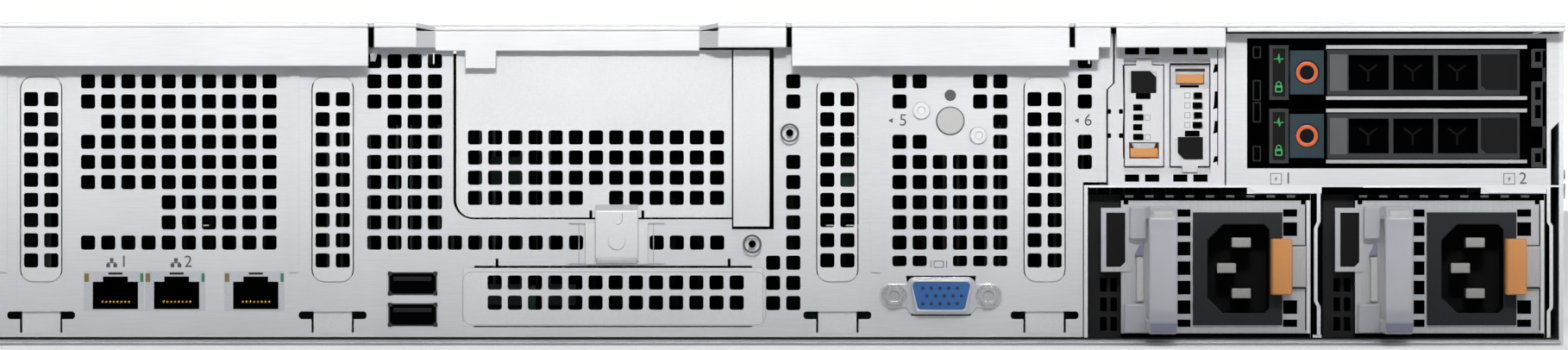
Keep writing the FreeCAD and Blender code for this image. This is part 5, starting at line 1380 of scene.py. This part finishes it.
@dataclass
class DriveCage:
    """The rear cage, its inner liners and the two carriers with their levers."""

    ring_out: float = 2.95
    ring_in: float = 1.95
    left_guides: tuple[Point, ...] = ((77.4, 80.6), (66.0, 71.5), (60.1, 65.6), (49.6, 53.8))
    right_guides: tuple[tuple[float, float, tuple[Point, ...]], ...] = (
        (74.8, 79.9, ((76.4, 79.2),)), (59.0, 71.1, ((66.2, 69.6), (61.2, 64.8))),
        (47.9, 53.2, ((49.4, 51.8),)))
    windows: int = 3
    window_step: float = 12.0
    face: float = field(init=False)

    def build(self) -> None:
        """Models and dresses the cage and what it holds."""
        self.face = wall_face()
        cage = clad("drive_cage_frame", 0, "rear_drive_cage", "chassis", Paint.WALL)
        # The cage's faces inside the mouth are painted black: painted shade.
        darken(cage, lambda at, way: at.y > self.face + 0.05 and 128 < at.x < 213 and at.z > 47)
        self.liners()
        for number in (1, 2):
            self.carrier(number)

    def liners(self) -> None:
        """Moulded guides at both sides of the mouth, with their square pockets."""
        y = self.face + 0.8
        left = [cutout("guide", [rounded(133.4, 135.6, low, high, 0.2),
                                 rounded(133.75, 135.25, low + 0.35, high - 0.35, 0.1)], y, 0.5)
                for low, high in self.left_guides]
        assemble("cage_guides_left", left, "chassis", Paint.EPOXY)
        right = [cutout("guide", [rounded(208.4, 212.2, low, high, 0.3)] +
                        [rounded(209.4, 211.0, a, b, 0.1) for a, b in holes], y, 0.8)
                 for low, high, holes in self.right_guides]
        right.append(block("web", Room(211.4, 212.2, y, y + 0.8, 48.5, 79.5)))
        assemble("cage_guides_right", right, "chassis", Paint.LINER, 0.12)

    def carrier(self, number: int) -> None:
        """One carrier: rails, lamp strip, push plate with its ring, and the windowed lever.

        Args:
            number: which carrier it is.
        """
        node = Room.of(f"rear_drive_{number}")
        body, x, z, face = f"rear_carrier_{number}", node.x0, node.z0, node.y0
        shell = clad(f"drive_{number}_carrier", 0, f"rear_drive_{number}", body, Paint.RAIL)
        # The carrier's faces behind its front are painted black: painted shade behind the lever's windows.
        darken(shell, lambda at, way: at.y > face + 0.1)
        darken(shell, lambda at, way: at.y < face + 4 and at.x < x + 5.3, Paint.GRAPHITE)
        strip = cutout("strip", [rounded(x + 0.9, x + 4.3, z + 0.8, z + 13.9, 0.15)], face + 0.25, 0.2)
        assemble(f"drive_{number}_lamp_strip", [strip], body, Paint.PLATE)
        middle, y = x + 2.55, face + 0.18
        pulse = ((-1.3, 11.0), (-0.35, 11.0), (0, 12.4), (0.25, 9.9), (0.5, 11.0), (1.3, 11.0))
        bail = ((-0.6, 3.9), (-0.6, 4.5), (0, 4.9), (0.6, 4.5), (0.6, 3.9))
        marks = [cutout("mark", [ribbon([(middle + a, z + b) for a, b in route], wide)], y, 0.08)
                 for route, wide in ((pulse, 0.32), (bail, 0.28))]
        marks.append(cutout("lock", [rounded(middle - 1.0, middle + 1.0, z + 2.0, z + 3.9, 0.35),
                                     rounded(middle - 0.65, middle + 0.65, z + 2.35, z + 3.3, 0.2)],
                            y, 0.08))
        assemble(f"drive_{number}_lamp_marks", marks, body, Paint.GREEN)
        self.push(number)
        self.lever(number, node)

    def push(self, number: int) -> None:
        """The push plate, its printed ring and the dark disc inside it.

        Args:
            number: which carrier it belongs to.
        """
        node = Room.of(f"rear_button_{number}")
        x, _, z = node.centre
        clad(f"drive_{number}_push", 0.2, f"rear_button_{number}", f"rear_push_{number}", Paint.TEAL,
             angle=60)
        band = soften(cutout(f"drive_{number}_ring", [ring(x, z, self.ring_out), ring(x, z, self.ring_in)],
                             node.y0 - 0.14, 0.2), 0.07)
        fit(band, f"rear_push_{number}", Paint.RING)
        disc = cutout(f"drive_{number}_ring_disc", [ring(x, z, self.ring_in)], node.y0 - 0.03, INLAY)
        fit(disc, f"rear_push_{number}", Paint.DEPTH)

    def lever(self, number: int, drive: Room) -> None:
        """The lever with its grip, label plate, and the casting behind its windows.

        Args:
            number: which carrier it belongs to.
            drive: the carrier's box.
        """
        node = Room.of(f"rear_lever_{number}")
        body, y = f"rear_handle_{number}", node.y0
        low = node.z0 + 2.1
        lever = clad(f"drive_{number}_lever", 0, f"rear_lever_{number}", body, Paint.GRAPHITE)
        # The walls of the lever's windows are painted black: painted shade.
        darken(lever, lambda at, way: at.y > y + 0.02 and abs(way.y) < 0.5
               and node.x0 + 1 < at.x < node.x1 - 1 and node.z0 + 1.2 < at.z < node.z1 - 1.2)
        grip = Room(node.x0 + 0.7, node.x0 + 5.4, y - 0.15, y + 0.3, low - 0.3, low + 9.6)
        fit(soften(block(f"drive_{number}_grip", grip), 0.12), body, Paint.BEZEL)
        left, right, high, corner = node.x1 - 10.4, node.x1 - 0.6, low + 9.6, 1.3
        label = [(left + 1.4, low), (right, low), (right, high), (left, high), (left, low + corner)]
        fit(cutout(f"drive_{number}_label", [label], y - 0.04, 0.1), body, Paint.PLATE)
        webs = []
        for k in range(self.windows):
            middle, at = node.x0 + 11.2 + self.window_step * k, low + 5.0
            for a, b in ((0, -2.6), (-2.4, 1.8), (2.4, 1.8)):
                webs.append(cutout("web", [ribbon([(middle, at), (middle + a, at + b)], 0.55)],
                                   drive.y0 + 4.4, 0.2))
        assemble(f"drive_{number}_casting", webs, f"rear_carrier_{number}", Paint.BLACK)


@dataclass
class PowerSupply:
    """One hot-swap supply: case, label, inlet, clear handle and release."""

    number: int
    joint: float = 0.32
    finger_step: float = 5.45
    pin_at: tuple[Point, ...] = ((10.5, 20.9), (6.5, 14.0), (10.5, 7.2))
    body: str = field(init=False)
    room: Room = field(init=False)
    face: float = field(init=False)

    def build(self) -> None:
        """Models and dresses the supply."""
        n = self.number
        self.body = f"power_supply_{n}"
        self.room = Room.of(f"psu_{n}_case")
        self.face = wall_face()
        self.case()
        inlet = clad(f"supply_{n}_inlet", 0.3, f"psu_{n}_inlet", self.body, Paint.SLATE,
                     angle=60)
        mouth = Room.of(f"psu_{n}_inlet")
        # The inlet's inner well is painted black, darker than its slate: painted shade in the well.
        darken(inlet, lambda at, way: at.y > mouth.y0 + 0.5 and mouth.x0 + 3 < at.x < mouth.x1 - 2
               and mouth.z0 + 3 < at.z < mouth.z1 - 2, Paint.BLACK)
        self.pins(mouth)
        self.handle()
        self.release()

    def case(self) -> None:
        """The drawn case with painted shade in its vents and recessed corner, and painted shadow along the
        joints and slots of its face.
        """
        n, room, face = self.number, self.room, self.face
        case = clad(f"supply_{n}_case", 0, f"psu_{n}_case", self.body, Paint.SUPPLY)
        # The vents' walls are painted black: painted shade in the vents.
        darken(case, lambda at, way: face + 0.1 < at.y < face + 20 and room.x0 + 0.1 < at.x < room.x1 - 0.1
               and room.z0 + 0.1 < at.z < room.z1 - 0.1)
        # The faces of the recessed corner are painted near-black: painted shade in the recess.
        darken(case, lambda at, way: at.x < room.x0 + 8.45 and face + 0.1 < at.y < face + 9.1
               and room.z0 + 0.1 < at.z < room.z1 - 0.1, Paint.EPOXY)
        x, low = room.x0, room.z0
        tag = [(x + 4.4, low + 19.0), (x + 8.2, low + 19.0), (x + 9.5, low + 20.3), (x + 9.5, low + 33.6),
               (x + 4.4, low + 33.6)]
        plate = soften(cutout(f"supply_{n}_tag", [tag], room.y0 - 0.05, 0.3), 0.05)
        fit(plate, self.body, Paint.PLATE)
        y = face - 0.03
        edge = room.x1 - 1.3
        lines = [[(edge, low + 1.9), (edge, low + 13.3)], [(edge, low + 24.7), (edge, low + 35.8)],
                 [(x + 54.2, low + 13.3), (edge, low + 13.3)], [(x + 54.2, low + 24.7), (edge, low + 24.7)]]
        joints = [cutout("joint", [ribbon(line, self.joint)], y, INLAY) for line in lines]
        if n == 2:
            joints += [cutout("slot", [rounded(x + 12.9, x + 13.8, low + a, low + b, 0.2)], y, INLAY)
                       for a, b in ((16.8, 20.5), (11.6, 15.3))]
        # The joints and slots are black lines: painted shadow.
        assemble(f"supply_{n}_joints", joints, self.body, Paint.PITCH)
        strip = Room(edge + 0.25, room.x1 - 0.2, face - 0.2, face + 0.4, low + 0.4, room.z1 - 0.4)
        fit(soften(block(f"supply_{n}_edge", strip), 0.12), self.body, Paint.CASE)
        self.fingers()

    def fingers(self) -> None:
        """Black strips of painted shade above and below the face, where the gaps round it lie in shadow,
        with a row of sprung contact fingers in the upper one.
        """
        n, room, face = self.number, self.room, self.face
        start = room.x0 + 8.3
        strips = [block("strip", Room(start, room.x1 - 0.1, face - 0.45, face + 0.3, low, high))
                  for low, high in ((room.z1 - 1.5, room.z1 + 0.02), (room.z0 - 0.02, room.z0 + 1.1))]
        # The strips are painted shade: the gaps above and below the face lie in shadow.
        assemble(f"supply_{n}_gaskets", strips, self.body, Paint.PITCH, 0.1)
        count = int((room.x1 - start) / self.finger_step)
        fingers = [block("finger", Room(start + self.finger_step * (k + 0.2),
                                        start + self.finger_step * (k + 0.62),
                                        face - 0.55, face - 0.3, room.z1 - 0.75, room.z1 - 0.1))
                   for k in range(count)]
        assemble(f"supply_{n}_fingers", fingers, self.body, Paint.BEZEL, 0.1)

    def pins(self, mouth: Room) -> None:
        """Three flat pins, each with a rounded nose.

        Args:
            mouth: the inlet's box.
        """
        blades = [block("pin", Room(mouth.x0 + dx, mouth.x0 + dx + 5.2, mouth.y0 + 1.6, mouth.y0 + 15,
                                    mouth.z0 + dz, mouth.z0 + dz + 2.7)) for dx, dz in self.pin_at]
        assemble(f"supply_{self.number}_pins", blades, self.body, Paint.PIN, 0.3)

    def handle(self) -> None:
        """The clear loop, with the frosted blocks and the pin that are moulded into it."""
        n, room = self.number, Room.of(f"psu_{self.number}_handle")
        clad(f"supply_{n}_handle", 0.6, f"psu_{n}_handle", self.body, Paint.CLEAR,
             segments=3)
        x, z, y, front = room.x0, room.z0, self.face, room.y0
        wedge = [(x + 2.9, z + 20.8), (x + 5.2, z + 20.8), (x + 5.2, z + 24.6), (x + 4.2, z + 23.4)]
        boxes = {"foot": Room(x + 6.5, x + 13.4, front + 0.25, front + 3.2, z + 0.5, z + 5.7),
                 "pin": Room(x + 3.3, x + 5.4, y - 3.2, y - 0.3, z + 8.4, z + 20.5),
                 "bump": Room(x + 7.0, x + 12.8, front + 0.6, front + 2.6, z + 29.6, z + 33.0)}
        for part, edge, steps, paint in (("foot", 0.4, 2, Paint.SMOKE), ("pin", 0.5, 3, Paint.FROST),
                                         ("wedge", 0.2, 2, Paint.SMOKE), ("bump", 0.7, 3, Paint.FROST)):
            name = f"supply_{n}_handle_{part}"
            piece = block(name, boxes[part]) if part in boxes else cutout(name, [wedge], y - 3.0, 2.6)
            fit(soften(piece, edge, steps), self.body, paint)

    def release(self) -> None:
        """The finger piece and the steel strap that it is moulded on."""
        n = self.number
        room = Room.of(f"psu_{n}_release")
        body = f"power_release_{n}"
        release = clad(f"supply_{n}_release", 0.45, f"psu_{n}_release", body, Paint.ORANGE,
                       segments=3, angle=50)
        darken(release, lambda at, way: at.x > room.x0 + 5.75, Paint.STRAP)


@dataclass
class Interior:
    """What lies between the walls: boards, coolers, memory, shroud and fans."""

    fans: int = 4
    hem_w: float = 1.0
    top_hem: Point = (42.75, 41.25)

    def build(self) -> None:
        """Dresses the inside."""
        face = wall_face()
        bays = clad("supply_bays", 0, "psu_cage", "chassis", Paint.CASE)
        # The bays' inner walls are painted black: painted shade inside the bays.
        darken(bays, lambda at, way: at.y > face + 0.3 and abs(way.y) < 0.9)
        self.bay_edges(Room.of("psu_cage"), face)
        dress(Paint.CASE, "front_cage")
        dress(Paint.BOARD, "system_board", "risers", "backplane", "memory_modules")
        dress(Paint.FINS, "heatsinks")
        dress(Paint.BLACK, "air_shroud", "fan_housings")
        for number in range(1, self.fans + 1):
            clad(f"fan_{number}_rotor", 0.3, f"fan_rotor_{number}", f"rotor_{number}", Paint.EPOXY)

    def bay_edges(self, bays: Room, face: float) -> None:
        """The bright hems of the supply bays: stepped along their sides, cranked along their tops.

        Args:
            bays: the box of the bays' cage.
            face: the wall's outer face.
        """
        right = Room.of("psu_2_case").x1
        middle = (Room.of("psu_1_case").x1 + Room.of("psu_2_case").x0) / 2
        # Black strips in the gaps beside the supplies: painted shade.
        grounds = [block("ground", Room(left, end, face - 0.12, face + 0.2, bays.z0 + foot, top))
                   for left, end, foot, top in ((middle - 1.2, middle + 1.2, 1.1, 41.0),
                                                (right + 0.5, right + 2.4, 0.9, 42.2))]
        assemble("bay_side_joints", grounds, "chassis", Paint.PITCH, 0.06)
        near, out, far = middle + 0.4, right + 1.1, right + 1.8
        routes = [[(near, 41.2), (near, 33.4), (middle - 0.4, 31.6), (middle - 0.4, 12.0), (near, 10.4),
                   (near, bays.z0 + 0.9)],
                  [(out, 42.2), (out, 33.2), (far, 32.2), (far, 10.2), (out, 9.2), (out, bays.z0 + 0.7)]]
        hems = [cutout("hem", [ribbon(route, self.hem_w)], face - 0.4, 0.35) for route in routes]
        high, low = self.top_hem
        for left, crank, end in ((bays.x0 + 1.2, 132.4, 149.2), (163.0, 195.2, 211.9)):
            route = [(left, high), (crank, high), (crank + 1.7, low), (end, low)]
            hems.append(cutout("hem", [ribbon(route, 0.45)], face - 0.3, 0.35))
        assemble("bay_hems", hems, "chassis", Paint.CASE, 0.1)


@dataclass
class FrontEnd:
    """The drive carriers, blanks and ears at the front."""

    drives: int = 4

    def build(self) -> None:
        """Models and dresses the front."""
        for number in range(1, self.drives + 1):
            clad(f"front_carrier_{number}_bezel", 0.3, f"front_drive_{number}", f"front_carrier_{number}",
                 Paint.GRAPHITE)
            clad(f"front_carrier_{number}_grip", 0.4, f"front_lever_{number}", f"front_handle_{number}",
                 Paint.TEAL)
        clad("front_blanks", 0.4, "drive_blanks", "chassis", Paint.GRAPHITE)
        clad("front_ears", 0.6, "control_ears", "chassis", Paint.GRAPHITE, segments=3)
        for side in ("left", "right"):
            clad(f"ear_catch_{side}", 0.5, f"rack_latch_{side}", f"rack_catch_{side}", Paint.TEAL)
        clad("power_button_cap", 0.4, "power_button", "power_push", Paint.FROST,
             segments=3)


# ---- the studio


@dataclass
class Studio:
    """A pale floor, soft lamps and a long lens square to the rear wall. Lengths are in metres."""

    lens: float = 350.0
    sensor: float = 36.0
    view_wide: float = 0.4222
    view_x: float = 0.00713
    view_z: float = 0.04594
    world: float = 0.36
    key: float = 3.0
    near: float = 0.092
    top: float = 3.0
    floor_size: float = 30.0
    floor_glow: float = 0.22

    def build(self) -> None:
        """Makes the camera, the floor, the world and the lamps."""
        scene = bpy.context.scene
        scene.view_settings.view_transform = "Standard"
        self.camera(scene)
        self.floor()
        self.sky(scene)
        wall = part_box("port_filler")[0].y
        self.lamp("front_softbox", (0.5, wall - 1.1, 0.75), (0.0, wall, 0.04), 1.6, 0.5, self.key)
        self.lamp("near_strip", (0.0, wall - 0.6, 0.30), (0.0, wall, 0.065), 0.6, 0.05, self.near, 15)
        self.lamp("top_softbox", (0.0, 0.1, 1.6), (0.0, 0.0, 0.0), 1.6, 1.2, self.top)

    def camera(self, scene: bpy.types.Scene) -> None:
        """Sets the lens at the distance that frames the rear wall.

        Args:
            scene: the scene that it serves.
        """
        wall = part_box("port_filler")[0].y
        data = bpy.data.cameras.new("rear_view")
        data.lens, data.sensor_width = self.lens, self.sensor
        data.clip_start, data.clip_end = 0.05, 100.0
        eye = bpy.data.objects.new("rear_view", data)
        far = self.lens / self.sensor * self.view_wide
        eye.location = (self.view_x, wall - far, self.view_z)
        eye.rotation_euler = (math.pi / 2, 0, 0)
        scene.collection.objects.link(eye)
        scene.camera = eye

    def floor(self) -> None:
        """A wide pale floor that is white to the eye and keeps the shadow."""
        bpy.ops.object.select_all(action="DESELECT")
        bpy.ops.mesh.primitive_plane_add(size=self.floor_size, location=(0, 0, 0))
        ground = bpy.context.object
        ground.name = "floor"
        paper = bpy.data.materials.new("paper_sweep")
        paper.use_nodes = True
        tree = paper.node_tree
        tree.nodes.clear()
        path = add_node(tree, "ShaderNodeLightPath")
        seen = add_node(tree, "ShaderNodeMath", {0: path.outputs["Is Camera Ray"],
                                                 1: path.outputs["Is Glossy Ray"]},
                        operation="MAXIMUM")
        seen = add_node(tree, "ShaderNodeMath", {0: seen.outputs[0],
                                                 1: path.outputs["Is Transmission Ray"]},
                        operation="MAXIMUM")
        plain = add_node(tree, "ShaderNodeBsdfDiffuse", {"Color": linear("#cfd0d2")})
        bright = add_node(tree, "ShaderNodeBsdfDiffuse", {"Color": linear("#ffffff")})
        glow = add_node(tree, "ShaderNodeEmission",
                        {"Color": linear("#ffffff"), "Strength": self.floor_glow})
        lifted = add_node(tree, "ShaderNodeAddShader", {0: bright.outputs[0], 1: glow.outputs[0]})
        mixed = add_node(tree, "ShaderNodeMixShader", {
            0: seen.outputs[0], 1: plain.outputs[0], 2: lifted.outputs[0]})
        add_node(tree, "ShaderNodeOutputMaterial", {"Surface": mixed.outputs[0]})
        ground.data.materials.append(paper)

    def sky(self, scene: bpy.types.Scene) -> None:
        """White to the eye, and a plain even light to the rest.

        Args:
            scene: the scene that it lights.
        """
        world = bpy.data.worlds.new("studio")
        world.use_nodes = True
        scene.world = world
        tree = world.node_tree
        tree.nodes.clear()
        path = add_node(tree, "ShaderNodeLightPath")
        seen = add_node(tree, "ShaderNodeMath", {0: path.outputs["Is Camera Ray"],
                                                 1: path.outputs["Is Transmission Ray"]},
                        operation="MAXIMUM")
        even = add_node(tree, "ShaderNodeBackground", {"Color": linear("#fbfcff"), "Strength": self.world})
        white = add_node(tree, "ShaderNodeBackground", {"Color": linear("#ffffff"), "Strength": 1.0})
        mixed = add_node(tree, "ShaderNodeMixShader",
                         {0: seen.outputs[0], 1: even.outputs[0], 2: white.outputs[0]})
        add_node(tree, "ShaderNodeOutputWorld", {"Surface": mixed.outputs[0]})

    def lamp(self, name: str, place: tuple, target: tuple, wide: float, high: float, power: float,
             spread: float = 180) -> None:
        """Hangs one softbox.

        Args:
            name: the lamp's name.
            place: where it hangs.
            target: the point that it faces.
            wide, high: its size.
            power: its strength in watts.
            spread: the angle of its beam, in degrees.
        """
        data = bpy.data.lights.new(name, "AREA")
        data.shape, data.size, data.size_y, data.energy = "RECTANGLE", wide, high, power
        data.spread = math.radians(spread)
        lamp = bpy.data.objects.new(name, data)
        lamp.location = place
        lamp.rotation_euler = (Vector(target) - Vector(place)).to_track_quat("-Z", "Y").to_euler()
        lamp.visible_camera = False
        bpy.context.scene.collection.objects.link(lamp)


def main() -> None:
    """Builds the machine and its studio."""
    logging.basicConfig(level=logging.INFO, format="%(name)s: %(message)s")
    Studio().build()
    for part in (CaseShell(), RearWall(), Blanks(), SocketRow(), DisplaySocket(), Indicator(), BootModule(),
                 DriveCage(), PowerSupply(1), PowerSupply(2), Interior(), FrontEnd()):
        log.info("building %s", type(part).__name__)
        part.build()
    bpy.context.view_layer.update()


if __name__ == "__main__":
    main()
